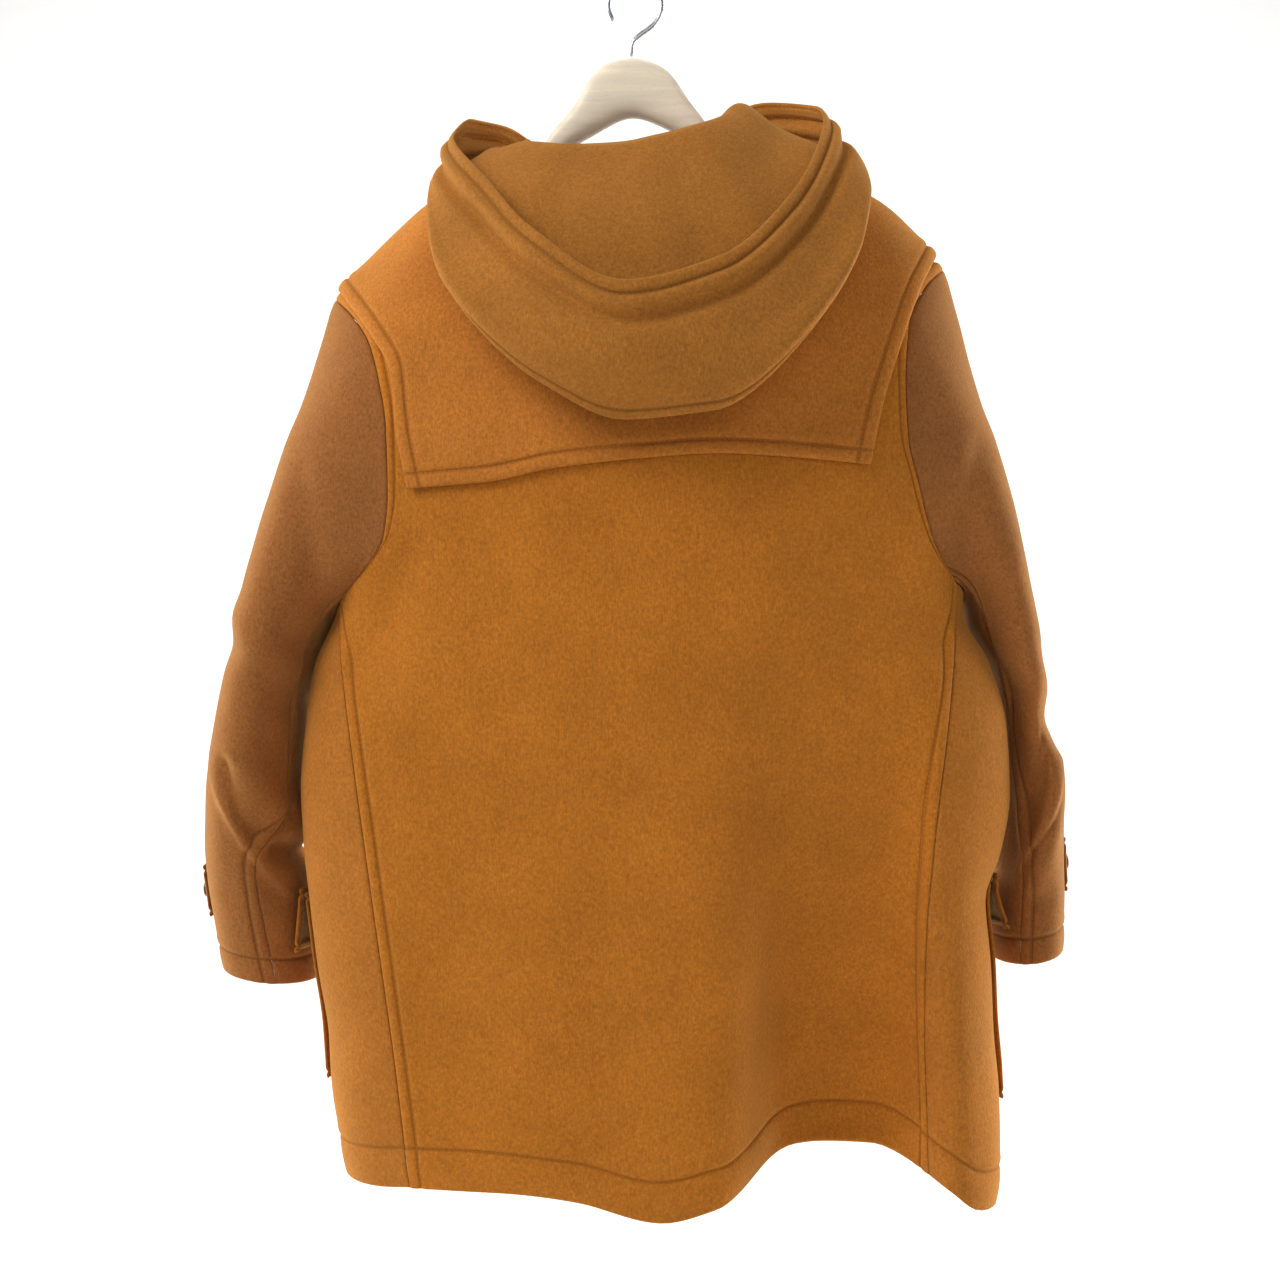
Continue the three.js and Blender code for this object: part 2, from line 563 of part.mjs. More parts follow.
// Round bar along a smooth path
function bar(name, material, path, radius, steps, sides) {
  const curve = new THREE.CatmullRomCurve3(path, false, 'centripetal');
  const frames = curve.computeFrenetFrames(steps, false);
  const rings = frames.tangents.map((_, k) => turns(sides).map((angle) => (
    curve.getPointAt(k / steps)
      .addScaledVector(frames.normals[k], radius * Math.cos(angle))
      .addScaledVector(frames.binormals[k], radius * Math.sin(angle))
  )));
  loft(name, material, rings);
}

// Lower end of a felled seam on the hem, and its upper end on the armhole
function seamFoot(side) {
  const x = SIDE_SEAM[side][1].x;
  return { x, z: hemZ(x) };
}
const seamTopZ = (side) => lerp(seamFoot(side).z, TIP[side].z, SEAM_TOP);

// Columns that meet the corners of the neck, as shares of the way between two x values
function neckColumns(from, to, { shoulder, neck }) {
  const left = NECK_X - NECK_HALF;
  const right = NECK_X + NECK_HALF;
  const up = to > from;
  const [near, far] = up ? [left, right] : [right, left];
  const wholeNeck = up ? to > far : to < far;
  const first = count(shoulder).map((t) => lerp(from, near, t));
  const sweep = wholeNeck ? Math.PI : Math.acos(clamp((NECK_X - to) / (NECK_X - near), -1, 1));
  const middle = count(neck).slice(1).map((t) => NECK_X + (near - NECK_X) * Math.cos(sweep * t));
  const last = wholeNeck ? count(shoulder).slice(1).map((t) => lerp(far, to, t)) : [];
  return [...first, ...middle, ...last].map((x) => (x - from) / (to - from));
}

function backPanel() {
  const hemLeft = seamFoot('left');
  const hemRight = seamFoot('right');
  const sideX = (side, z) => {
    const table = z > seamTopZ(side) ? ARMHOLE : SIDE_SEAM;
    return edgeX(table, side, z) - signOf(side) * SEAM_GAP / 2;
  };
  const at = (u, v) => {
    const xLeft = sideX('left', lerp(hemLeft.z, TIP.left.z, v));
    const xRight = sideX('right', lerp(hemRight.z, TIP.right.z, v));
    const low = hemZ(lerp(hemLeft.x, hemRight.x, u));
    const high = topZ(lerp(TIP.left.x, TIP.right.x, u), NECK_DROP_BACK);
    const z = lerp(low, high, v);
    const place = bodyPoint(angleAt(lerp(xLeft, xRight, u), z, false), z);
    place.y -= SEAM_GAP / 2;
    return place;
  };
  const columns = neckColumns(TIP.left.x, TIP.right.x, BACK_COLUMNS);
  const high = shoulderRows(ROWS).slice(1);
  const rows = [
    ...count(ROWS.low).map((t) => t * SEAM_TOP),
    ...high.map((t) => lerp(SEAM_TOP, 1, t)),
  ];
  wall('back', 'back', at, columns, rows);
}

// Height of the armhole between the felled seam and its front corner, at an angle
function underarmZ(side, angle) {
  let low = UNDERARM_TURNS.from;
  let high = UNDERARM_TURNS.to;
  const sign = signOf(side);
  for (let k = 0; k < UNDERARM_TURNS.halvings; k += 1) {
    const middle = (low + high) / 2;
    if (sign * armhole(side, middle).angle < sign * angle) low = middle;
    else high = middle;
  }
  return armhole(side, low).z;
}

// Surface of a front panel. u runs from the felled seam round the side to the front edge,
// in two stretches, and v from hem to armhole corner to shoulder, also in two.
function frontSurface(side) {
  const sign = signOf(side);
  const seamTop = seamTopZ(side);
  const corner = ARMHOLE_CORNER_Z[side];
  const cornerX = edgeX(ARMHOLE, side, corner);
  const seamAngle = (z) => angleAt(edgeX(SIDE_SEAM, side, z), z, false) + sign * SEAM_ANGLE;
  const chestX = (z) => {
    const up = smooth((z - CHEST_FOOT_Z) / (corner - CHEST_FOOT_Z));
    return lerp(FRONT_SIDE_HEM_X[side], cornerX, up);
  };
  const topAngles = [seamAngle(seamTop), angleAt(cornerX, corner, true)];
  const underlap = side === 'left' ? 0 : CLOTH + 3 * LAYER_GAP;
  return (u, v) => {
    const across = clamp((u - SIDE_SPLIT) / (1 - SIDE_SPLIT), 0, 1);
    const roundSide = clamp(u / SIDE_SPLIT, 0, 1);
    const rise = clamp(v / FRONT_SPLIT, 0, 1);
    const above = clamp((v - FRONT_SPLIT) / (1 - FRONT_SPLIT), 0, 1);
    let place;
    if (u < SIDE_SPLIT) {
      const topAngle = lerp(topAngles[0], topAngles[1], roundSide);
      const high = underarmZ(side, topAngle);
      const plain = (height) => lerp(
        seamAngle(Math.min(height, seamTop)),
        angleAt(chestX(height), height, true),
        roundSide,
      );
      const z = lerp(sideHemZ(side, plain(SIDE_HEM_Z)), high, rise);
      place = bodyPoint(plain(z) + (topAngle - plain(high)) * rise ** 3, z);
    } else {
      const edge = FRONT_EDGE_X[side];
      let x;
      let z;
      if (v < FRONT_SPLIT) {
        const footX = lerp(FRONT_SIDE_HEM_X[side], edge, across);
        z = lerp(sideHemZ(side, angleAt(footX, SIDE_HEM_Z, true)), corner, rise);
        x = lerp(chestX(z), edge, across);
      } else {
        const outerZ = lerp(corner, TIP[side].z, above);
        z = lerp(corner, topZ(lerp(TIP[side].x, edge, across), NECK_DROP_FRONT), above);
        x = lerp(edgeX(ARMHOLE, side, outerZ), edge, across);
      }
      place = bodyPoint(angleAt(x, z, true), z);
    }
    const under = place.y > UNDERLAP.frontY ? smooth((UNDERLAP.start - place.x) / UNDERLAP.ramp) : 0;
    place.y += SEAM_GAP / 2 - underlap * under;
    return place;
  };
}

function frontPanels() {
  const high = shoulderRows(ROWS).slice(1);
  const rows = [
    ...count(ROWS.low).map((t) => t * FRONT_SPLIT),
    ...high.map((t) => lerp(FRONT_SPLIT, 1, t)),
  ];
  for (const side of SIDES) {
    const chest = neckColumns(TIP[side].x, FRONT_EDGE_X[side], FRONT_COLUMNS);
    const columns = [
      ...count(FRONT_COLUMNS.side).map((t) => t * SIDE_SPLIT),
      ...chest.slice(1).map((t) => lerp(SIDE_SPLIT, 1, t)),
    ];
    wall(`front_${side}`, 'front', frontSurface(side), columns, rows, {
      flip: side === 'left',
      keep: (i, j) => j < ROWS.low || i >= FRONT_COLUMNS.side,
    });
  }
}

// Thick cape layer over the shoulders, one piece on the back and one on each front
function yoke() {
  const lift = () => YOKE_GAP + YOKE_CLOTH;
  const low = { left: YOKE_SIDE.left[0], right: YOKE_SIDE.right[0] };
  const atBack = (u, v) => {
    const tipZ = { left: ridgeZ(YOKE_TIP.left), right: ridgeZ(YOKE_TIP.right) };
    const xLeft = edgeX(YOKE_SIDE, 'left', lerp(low.left.z, tipZ.left, v));
    const xRight = edgeX(YOKE_SIDE, 'right', lerp(low.right.z, tipZ.right, v));
    const bottom = follow(YOKE_EDGE, 'x', 'z', lerp(low.left.x, low.right.x, u));
    const high = topZ(lerp(YOKE_TIP.left, YOKE_TIP.right, u), NECK_DROP_BACK);
    const z = lerp(bottom, high, v);
    const place = bodyPoint(angleAt(lerp(xLeft, xRight, u), z, false), z);
    place.y -= SEAM_GAP / 2;
    return place;
  };
  const columns = neckColumns(YOKE_TIP.left, YOKE_TIP.right, BACK_COLUMNS);
  wall('yoke_back', 'yoke', atBack, columns, shoulderRows(YOKE_ROWS.back), {
    lift, thickness: YOKE_CLOTH,
  });
  for (const side of SIDES) {
    const atFront = (u, v) => {
      const outer = lerp(YOKE_FRONT_X.outer[side], YOKE_TIP[side], v);
      const neck = NECK_X + signOf(side) * (NECK_HALF + YOKE_OFF_NECK);
      const inner = lerp(YOKE_FRONT_X.inner[side], neck, v);
      const high = ridgeZ(lerp(YOKE_TIP[side], neck, u));
      const z = lerp(YOKE_FRONT_Z[side], high, v);
      const place = bodyPoint(angleAt(lerp(outer, inner, u), z, true), z);
      place.y += SEAM_GAP / 2;
      return place;
    };
    const frontColumns = count(YOKE_FRONT_COLUMNS);
    wall(`yoke_front_${side}`, 'yoke', atFront, frontColumns, shoulderRows(YOKE_ROWS.front), {
      lift, thickness: YOKE_CLOTH, flip: side === 'left',
    });
  }
}

// Sleeve surface: turn goes round from the top by the back, w along from armhole to cuff
function sleeveSurface(side) {
  const rows = SLEEVE[side];
  const sign = signOf(side);
  const middleZ = (TIP[side].z + UNDERARM_Z[side]) / 2;
  return (turn, w) => {
    const value = (name) => follow(rows, 'w', name, w);
    const angle = 2 * Math.PI * turn;
    const outer = point(value('ox'), value('y'), value('oz'));
    const inner = point(value('ix'), value('y'), value('iz'));
    const line = lerp(ELBOW.outer, ELBOW.inner, (1 - Math.cos(angle)) / 2);
    const span = w < line ? ELBOW.above : ELBOW.below;
    const crease = ELBOW.depth * bell(w - line, span) * Math.max(0, Math.sin(angle));
    const half = (1 + Math.cos(angle)) / 2;
    const place = inner.clone().lerp(outer, half);
    place.y -= Math.sin(angle) * (value('b') + crease);
    const loop = armhole(side, turn).place;
    loop.y *= SLEEVE_SHRINK;
    loop.z = middleZ + (loop.z - middleZ) * SLEEVE_SHRINK;
    const drop = smooth((TIP[side].z - loop.z) / SLEEVE_OFF_BODY.drop);
    loop.x += sign * lerp(SLEEVE_OFF_BODY.top, SLEEVE_OFF_BODY.low, drop);
    return loop.lerp(place, smooth(w / SLEEVE_JOIN));
  };
}

function sleeves() {
  const lengthwise = count(SLEEVE_STEPS.along);
  const gap = SLEEVE_SEAM_GAP;
  for (const side of SIDES) {
    const at = sleeveSurface(side);
    const backSeam = (w) => follow(SLEEVE_BACK_SEAM[side], 'w', 'turn', w);
    const upper = (u, w) => at(lerp(SLEEVE_FRONT_SEAM - 1 + gap, backSeam(w) - gap, u), w);
    const under = (u, w) => at(lerp(backSeam(w) + gap, SLEEVE_FRONT_SEAM - gap, u), w);
    const flip = side === 'left';
    const round = { flip, wraps: true };
    wall(`sleeve_${side}_upper`, 'sleeve', upper, count(SLEEVE_STEPS.upper), lengthwise, round);
    wall(`sleeve_${side}_under`, 'sleeve', under, count(SLEEVE_STEPS.under), lengthwise, round);
    const tab = TAB[side];
    const around = count(TAB_STEPS.around).map((t) => lerp(TAB_TURN.front, TAB_TURN.back, t));
    const along = count(TAB_STEPS.along).map((t) => lerp(tab.top, tab.bottom, t));
    wall(`cuff_tab_${side}`, 'flap', at, around, along, {
      ...round, lift: () => LAYER_GAP + CLOTH,
    });
    button(side, at, (tab.top + tab.bottom) / 2);
  }
}

function button(side, at, w) {
  const { radius, faceRadius, thickness, bevel, off, turn } = BUTTON;
  const place = at(turn, w);
  const du = at(turn + SLOPE_STEP, w).sub(at(turn - SLOPE_STEP, w)).normalize();
  const dw = at(turn, w + SLOPE_STEP).sub(at(turn, w - SLOPE_STEP)).normalize();
  const normal = du.clone().cross(dw).normalize().multiplyScalar(signOf(side));
  const across = normal.clone().cross(dw).normalize();
  const down = normal.clone().cross(across).normalize();
  const base = LAYER_GAP + CLOTH + off;
  const profile = [
    { out: base, r: faceRadius },
    { out: base + bevel, r: radius },
    { out: base + thickness - bevel, r: radius },
    { out: base + thickness, r: faceRadius },
  ];
  const rings = profile.map(({ out, r }) => turns(BUTTON_SIDES).map((angle) => (
    place.clone().addScaledVector(normal, out)
      .addScaledVector(across, r * Math.cos(angle))
      .addScaledVector(down, r * Math.sin(angle))
  )));
  loft(`cuff_button_${side}`, 'button', rings);
}

// Hood surface: u goes round the neck from throat to throat, v from neck seam to face edge
function hoodPoint(u, v) {
  const turn = lerp(HOOD[0].turn, HOOD[HOOD.length - 1].turn, u);
  const angle = THREE.MathUtils.degToRad(turn);
  const neckX = NECK_X + NECK_HALF * Math.sin(angle);
  const front = Math.abs(turn) > 90;
  const neckZ = topZ(neckX, front ? NECK_DROP_FRONT : NECK_DROP_BACK);
  const neckY = bodyPoint(angleAt(neckX, neckZ, front), neckZ).y;
  const seam = point(neckX, neckY, neckZ + YOKE_CLOTH + YOKE_GAP + HOOD_RISE);
  const neckR = Math.hypot(neckX - NECK_X, neckY);
  const value = (name) => follow(HOOD, 'turn', name, turn);
  const at = (name) => point(value(`${name}R`), value(`${name}Z`), 0);
  const foldDepth = value('farZ') - value('foldZ');
  const { shallow, deep, share } = HOOD_FOLD;
  const round = clamp((foldDepth - shallow) / (deep - shallow), 0, 1);
  const levels = HOOD_LEVELS;
  const inward = at('fold').add(point(HOOD_FOLD.inR, HOOD_FOLD.inZ, 0));
  const outward = at('fold').add(point(HOOD_FOLD.outR, HOOD_FOLD.outZ, 0));
  const profile = {
    seam: point(neckR, seam.z, 0),
    roll: at('roll'),
    far: at('far'),
    before: at('far').lerp(at('fold'), share).lerp(inward, round),
    fold: at('fold'),
    after: at('fold').lerp(at('near'), share).lerp(outward, round),
    near: at('near'),
    edge: at('edge'),
  };
  const names = Object.keys(levels);
  let k = 0;
  while (k < names.length - 2 && v > levels[names[k + 1]]) k += 1;
  const part = (v - levels[names[k]]) / (levels[names[k + 1]] - levels[names[k]]);
  const curve = new THREE.CatmullRomCurve3(names.map((name) => profile[name]), false, 'centripetal');
  const place = curve.getPoint((k + part) / (names.length - 1));
  const polar = (radius, height) => point(
    NECK_X + radius * Math.sin(angle),
    -radius * Math.cos(angle),
    height,
  );
  const shift = seam.sub(polar(neckR, seam.z));
  return polar(place.x, place.y).addScaledVector(shift, 1 - smooth(v / levels.roll));
}

// Millimetres of hood surface along v, for each unit of v
function hoodSpeed(u, v) {
  const ahead = hoodPoint(u, Math.min(v + HOOD_SPEED_STEP, 1));
  return ahead.distanceTo(hoodPoint(u, v - HOOD_SPEED_STEP)) / (2 * HOOD_SPEED_STEP);
}

// Normal of the hood surface, taken over a short span so that it turns evenly round the fold
function hoodNormal(u, v) {
  const dv = HOOD_NORMAL_SPAN / hoodSpeed(u, Math.max(v, HOOD_SPEED_STEP));
  const [u0, u1] = [Math.max(u - SLOPE_STEP, 0), Math.min(u + SLOPE_STEP, 1)];
  const [v0, v1] = [Math.max(v - dv, 0), Math.min(v + dv, 1)];
  const along = hoodPoint(u1, v).sub(hoodPoint(u0, v));
  return along.cross(hoodPoint(u, v1).sub(hoodPoint(u, v0))).normalize();
}

// The two hood pieces meet on the lower fold, a seam gap apart
function hood() {
  const across = count(HOOD_COLUMNS);
  const { fold } = HOOD_LEVELS;
  const halfGap = (u) => HOOD_SEAM_GAP / 2 / hoodSpeed(u, fold);
  const underV = (u, v) => v * (fold - halfGap(u));
  const outerV = (u, v) => lerp(fold + halfGap(u), 1, v);
  wall('hood_under', 'hood', (u, v) => hoodPoint(u, underV(u, v)), across, HOOD_ROWS.under, {
    normal: (u, v) => hoodNormal(u, underV(u, v)),
  });
  wall('hood_outer', 'hood', (u, v) => hoodPoint(u, outerV(u, v)), across, HOOD_ROWS.outer, {
    normal: (u, v) => hoodNormal(u, outerV(u, v)),
  });
}

// Patch pockets and flaps lie on the fronts
function pockets() {
  for (const side of SIDES) {
    const sign = signOf(side);
    const { top, bottom, inner } = POCKET[side];
    const flip = side === 'left';
    const surface = (first, last) => (u, v) => {
      const z = lerp(first, last, v);
      const outerAngle = sign * POCKET_SIDE_ANGLE;
      const place = bodyPoint(lerp(outerAngle, angleAt(inner, z, true), u), z);
      place.y += SEAM_GAP / 2;
      return place;
    };
    const pocketLift = (u) => (
      POCKET_GAP + CLOTH + POCKET_EDGE_LIFT * (1 - smooth(u / POCKET_EDGE_SHARE))
    );
    const across = count(POCKET_STEPS.across);
    wall(`pocket_${side}`, 'pocket', surface(bottom, top), across, count(POCKET_STEPS.up), {
      lift: pocketLift, flip,
    });
    const flapTop = top + FLAP.above;
    const flapSurface = surface(flapTop - FLAP.height, flapTop);
    const flapLift = (u, v) => (
      pocketLift(u) + LAYER_GAP + CLOTH + FLAP.stand * (1 - v) * (1 - smooth(u / FLAP.standShare))
    );
    wall(`flap_${side}`, 'flap', flapSurface, across, count(POCKET_STEPS.flap), {
      lift: flapLift, flip,
    });
  }
}

// Point on the outside of the closed front, moved out by lift
function frontPlace(x, z, lift) {
  const step = 0.5;
  const at = (a, b) => {
    const place = bodyPoint(angleAt(a, b, true), b);
    place.y += SEAM_GAP / 2;
    return place;
  };
  const normal = at(x, z + step).sub(at(x, z - step))
    .cross(at(x + step, z).sub(at(x - step, z))).normalize();
  return at(x, z).addScaledVector(normal, lift);
}

// Both legs of a cord, out to the toggle and back on its other side
function cordPath(route, endX, z, levels) {
  const back = route.slice(0, -1).reverse().map((row) => ({ ...row, dz: -row.dz }));
  return [...route, ...back].map(({ from, x, dz, over, rise }) => {
    const start = from === 'end' ? endX : TOGGLE.x;
    return frontPlace(start + x, z + dz, levels[over] + rise);
  });
}

function fastening() {
  const front = LAYER_GAP + CORD.radius + CORD.off;
  const middle = front + CORD.radius + LAYER_GAP + TOGGLE.radius;
  const levels = {
    front,
    patch: front + PATCH.thickness + LAYER_GAP,
    middle,
    toggle: middle + TOGGLE.radius + LAYER_GAP + CORD.radius,
  };
  const tieEnd = PATCH.inner + PATCH_RIGHT_SHIFT + PATCH_HOLD;
  const loopEnd = -PATCH.inner - PATCH_HOLD;
  const ends = {
    left: [-PATCH.outer, -PATCH.inner],
    right: [PATCH.inner + PATCH_RIGHT_SHIFT, PATCH.outer + PATCH_RIGHT_SHIFT],
  };
  TOGGLE_Z.forEach((z, k) => {
    const number = k + 1;
    for (const side of SIDES) {
      const at = (u, v) => frontPlace(
        lerp(ends[side][0], ends[side][1], u),
        lerp(z - PATCH.half, z + PATCH.half, v),
        0,
      );
      const name = `patch_${side}_${number}`;
      wall(name, 'patch', at, count(PATCH_STEPS.across), count(PATCH_STEPS.up), {
        lift: () => LAYER_GAP + PATCH.thickness, thickness: PATCH.thickness, flip: true,
      });
    }
    const tie = cordPath(TIE_ROUTE, tieEnd, z, levels);
    const loop = cordPath(LOOP_ROUTE, loopEnd, z, levels);
    bar(`tie_cord_${number}`, 'cord', tie, CORD.radius, CORD_STEPS.tie, CORD_STEPS.sides);
    bar(`loop_cord_${number}`, 'cord', loop, CORD.radius, CORD_STEPS.loop, CORD_STEPS.sides);
    const rings = count(TOGGLE_STEPS.along).map((share) => {
      const t = lerp(-1, 1, share);
      const radius = lerp(TOGGLE.radius, TOGGLE.endRadius, t * t);
      const centre = frontPlace(TOGGLE.x + t * TOGGLE.half, z, levels.middle);
      return turns(TOGGLE_STEPS.sides).map((angle) => (
        centre.clone().add(point(0, radius * Math.cos(angle), radius * Math.sin(angle)))
      ));
    });
    loft(`toggle_${number}`, 'toggle', rings);
  });
}

function hanger() {
  const power = 2 / HANGER_POWER;
  const rings = HANGER.map(({ x, top, bottom, half }) => turns(HANGER_SIDES).map((angle) => point(
    x,
    half * signedPower(Math.cos(angle), power),
    (top + bottom) / 2 + ((top - bottom) / 2) * signedPower(Math.sin(angle), power),
  )));
  loft('hanger_body', 'beech', rings);
  const centreZ = HOOK.wire - HOOK.radius;
  const stem = HOOK_STEM.map(({ x, z }) => point(x, 0, z));
  const bend = count(HOOK_STEPS.bend).map((t) => {
    const angle = lerp(HOOK.from, HOOK.to, t);
    return point(HOOK.radius * Math.cos(angle), 0, centreZ + HOOK.radius * Math.sin(angle));
  });
  const path = [...stem, ...bend];
  bar('hanger_hook', 'steel', path, HOOK.wire, HOOK_STEPS.along, HOOK_STEPS.sides);
}

backPanel();
frontPanels();
yoke();
sleeves();
hood();
pockets();
fastening();
hanger();

export default group;
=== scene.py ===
"""Duffle coat hung on a wooden hanger, seen from the back.

Laid out as an add-on: each operator makes one piece, or one group of like pieces, of the coat.
Tables and surfaces are in millimetres, +Z up, with the back of the coat facing -Y and the
wearer's right at +X. Meshes are in metres.
"""
import math
from bisect import bisect_right
from functools import lru_cache

import bmesh
import bpy
import numpy as np
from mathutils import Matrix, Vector, noise


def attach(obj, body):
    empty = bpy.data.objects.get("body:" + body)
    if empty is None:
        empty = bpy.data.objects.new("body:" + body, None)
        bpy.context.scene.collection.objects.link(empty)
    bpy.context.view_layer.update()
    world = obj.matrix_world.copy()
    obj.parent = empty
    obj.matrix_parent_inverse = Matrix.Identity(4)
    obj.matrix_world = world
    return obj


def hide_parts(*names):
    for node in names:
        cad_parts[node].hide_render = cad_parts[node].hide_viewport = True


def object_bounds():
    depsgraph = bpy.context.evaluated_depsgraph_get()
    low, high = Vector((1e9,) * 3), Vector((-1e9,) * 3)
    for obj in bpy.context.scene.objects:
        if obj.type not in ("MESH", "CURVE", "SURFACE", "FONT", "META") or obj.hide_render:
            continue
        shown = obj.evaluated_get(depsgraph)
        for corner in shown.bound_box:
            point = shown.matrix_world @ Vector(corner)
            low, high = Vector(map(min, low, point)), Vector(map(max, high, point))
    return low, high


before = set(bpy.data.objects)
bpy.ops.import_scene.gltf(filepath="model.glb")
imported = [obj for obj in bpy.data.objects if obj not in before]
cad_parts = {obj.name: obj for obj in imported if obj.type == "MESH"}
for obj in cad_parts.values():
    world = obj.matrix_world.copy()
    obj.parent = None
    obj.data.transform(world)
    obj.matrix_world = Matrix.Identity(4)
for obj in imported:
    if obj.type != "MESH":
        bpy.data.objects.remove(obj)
CAD_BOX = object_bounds()

bl_info = {
    "name": "Duffle Coat",
    "version": (1, 0, 0),
    "blender": (4, 5, 0),
    "location": "View3D > Sidebar > Coat",
    "description": "Sews a woollen duffle coat round its hanger",
    "category": "Add Mesh",
}

MM = 0.001
CAMERA_X = 0.004
# Lamps: place in metres, what they aim at, size in metres and share of the key light's power
LAMPS = (
    ("key", (-1.5, -1.05, 1.0), "coat", 1.2, 1.0),
    ("fill", (0.5, -2.4, -0.1), "coat", 1.6, 0.27),
    ("top", (0.0, 0.5, 1.6), "coat", 1.2, 0.3),
    ("rim_left", (-1.7, 0.7, -0.6), "coat", 1.5, 0.7),
    ("rim_right", (1.7, 0.7, -0.6), "coat", 1.5, 1.0),
    ("backdrop_left", (-2.6, 1.6, 0.8), "backdrop", 1.8, 2.6),
    ("backdrop_right", (2.6, 1.6, 0.8), "backdrop", 1.8, 2.6),
)
SIDES = ("left", "right")
EDGES = ("low_u", "high_u", "low_v", "high_v")


def table(columns, *rows):
    """Rows of a table, by the names of its columns."""
    names = columns.split()
    return [dict(zip(names, row)) for row in rows]


# Cloth and seams
SEAM_GAP = 0.02
LAYER_GAP = 0.9
SEAM_ANGLE = 0.0001

# Body of the coat
SECTION_POWER = 2.5
SHOULDER_ROUND = 130
NECK_X = -8
NECK_HALF = 77
NECK_DROP_BACK = 36
NECK_DROP_FRONT = 68
TIP_X = {"left": -245, "right": 252}
TIP_Z = {"left": -262, "right": -238}
UNDERARM_Z = {"left": -522, "right": -506}
SEAM_TOP = 0.64
ARMHOLE_CORNER_Z = {"left": -482, "right": -464}
OVERLAP = 34
UNDERLAP_START = 92
UNDERLAP_RAMP = 46

# Deep fold that runs down the right of the back to the hem, and the swell beside it
TROUGH = {"x": 160, "top": -560, "bottom": -965, "half_width": 100, "flat": 30, "depth": 92}
BULGE = {"x": 24, "top": -640, "bottom": -965, "half_width": 95, "depth": 10}

# Half sections of the body seen from behind, and depths to back and front, by height
BODY = table(
    "z left right back front",
    (-100, -262, 280, 60, 64),
    (-200, -262, 280, 80, 78),
    (-300, -262, 280, 97, 92),
    (-400, -262, 280, 106, 100),
    (-470, -252, 270, 109, 104),
    (-515, -242, 266, 111, 106),
    (-560, -260, 288, 112, 108),
    (-610, -268, 302, 113, 110),
    (-660, -271, 304, 113, 112),
    (-710, -269, 296, 113, 113),
    (-750, -264, 284, 113, 114),
    (-805, -257, 289, 114, 115),
    (-850, -250, 291, 114, 115),
    (-900, -246, 295, 115, 116),
    (-950, -237, 296, 115, 117),
    (-990, -231, 293, 115, 118),
)

# Line of the shoulders, carried on over the open neck
RIDGE = table(
    "x z",
    (-275, -306), (-245, -262), (-215, -234), (-193, -212), (-165, -187), (-85, -140),
    (-8, -101), (69, -125), (189, -182), (206, -194), (228, -215), (252, -238), (280, -275),
)

# Hem of the back, hanging in waves
HEM_BACK = table(
    "x z",
    (-235, -968), (-200, -964), (-165, -959), (-100, -957), (-45, -961), (20, -973),
    (62, -964), (85, -957), (110, -950), (150, -944), (190, -946), (218, -953),
    (245, -968), (270, -986), (296, -993),
)
HEM_FRONT = {"left": -976, "right": -984}

# Armhole edges by height, the same on back and front
ARMHOLE = {
    "left": table(
        "z x",
        (-522, -243), (-505, -229), (-484, -208), (-463, -194), (-430, -190), (-375, -192),
        (-340, -198), (-310, -207), (-285, -223), (-262, -245),
    ),
    "right": table(
        "z x",
        (-506, 266), (-490, 249), (-470, 235), (-450, 227), (-420, 219), (-388, 211),
        (-342, 209), (-295, 213), (-262, 229), (-238, 252),
    ),
}

# Felled seams between back and fronts
SIDE_SEAM = {
    "left": table(
        "z x",
        (-990, -168), (-953, -173), (-873, -183), (-760, -199), (-685, -210), (-598, -223),
        (-514, -236),
    ),
    "right": table(
        "z x",
        (-990, 231), (-963, 230), (-820, 226), (-698, 231), (-617, 240), (-497, 256),
    ),
}
SEAM_FOOT_X = {"left": -173, "right": 230}

# Shoulder yoke: lower edge and side edges on the back, plain on the front
YOKE_EDGE = table(
    "x z",
    (-172, -425), (-111, -421), (-60, -411), (4, -404), (63, -400), (112, -402), (178, -407),
)
YOKE_SIDE = {
    "left": table("z x", (-425, -172), (-380, -182), (-334, -187), (-303, -204), (-259, -238)),
    "right": table("z x", (-407, 178), (-359, 189), (-321, 201), (-268, 221), (-229, 243)),
}
YOKE_LOW = {"left": (-172, -425), "right": (178, -407)}
YOKE_TIP = {"left": -238, "right": 243}
YOKE_FRONT_Z = {"left": -312, "right": -300}
YOKE_FRONT_OUTER = {"left": -184, "right": 196}
YOKE_FRONT_INNER = {"left": -96, "right": 84}
YOKE_GAP = 1.6

# Fronts: share of the width that is the side, share of the height up to the armhole corner
SIDE_SPLIT = 0.4
FRONT_SPLIT = 0.6
FRONT_EDGE_X = {"left": NECK_X + OVERLAP, "right": NECK_X - OVERLAP}
FRONT_SIDE_HEM_X = {"left": -186, "right": 238}

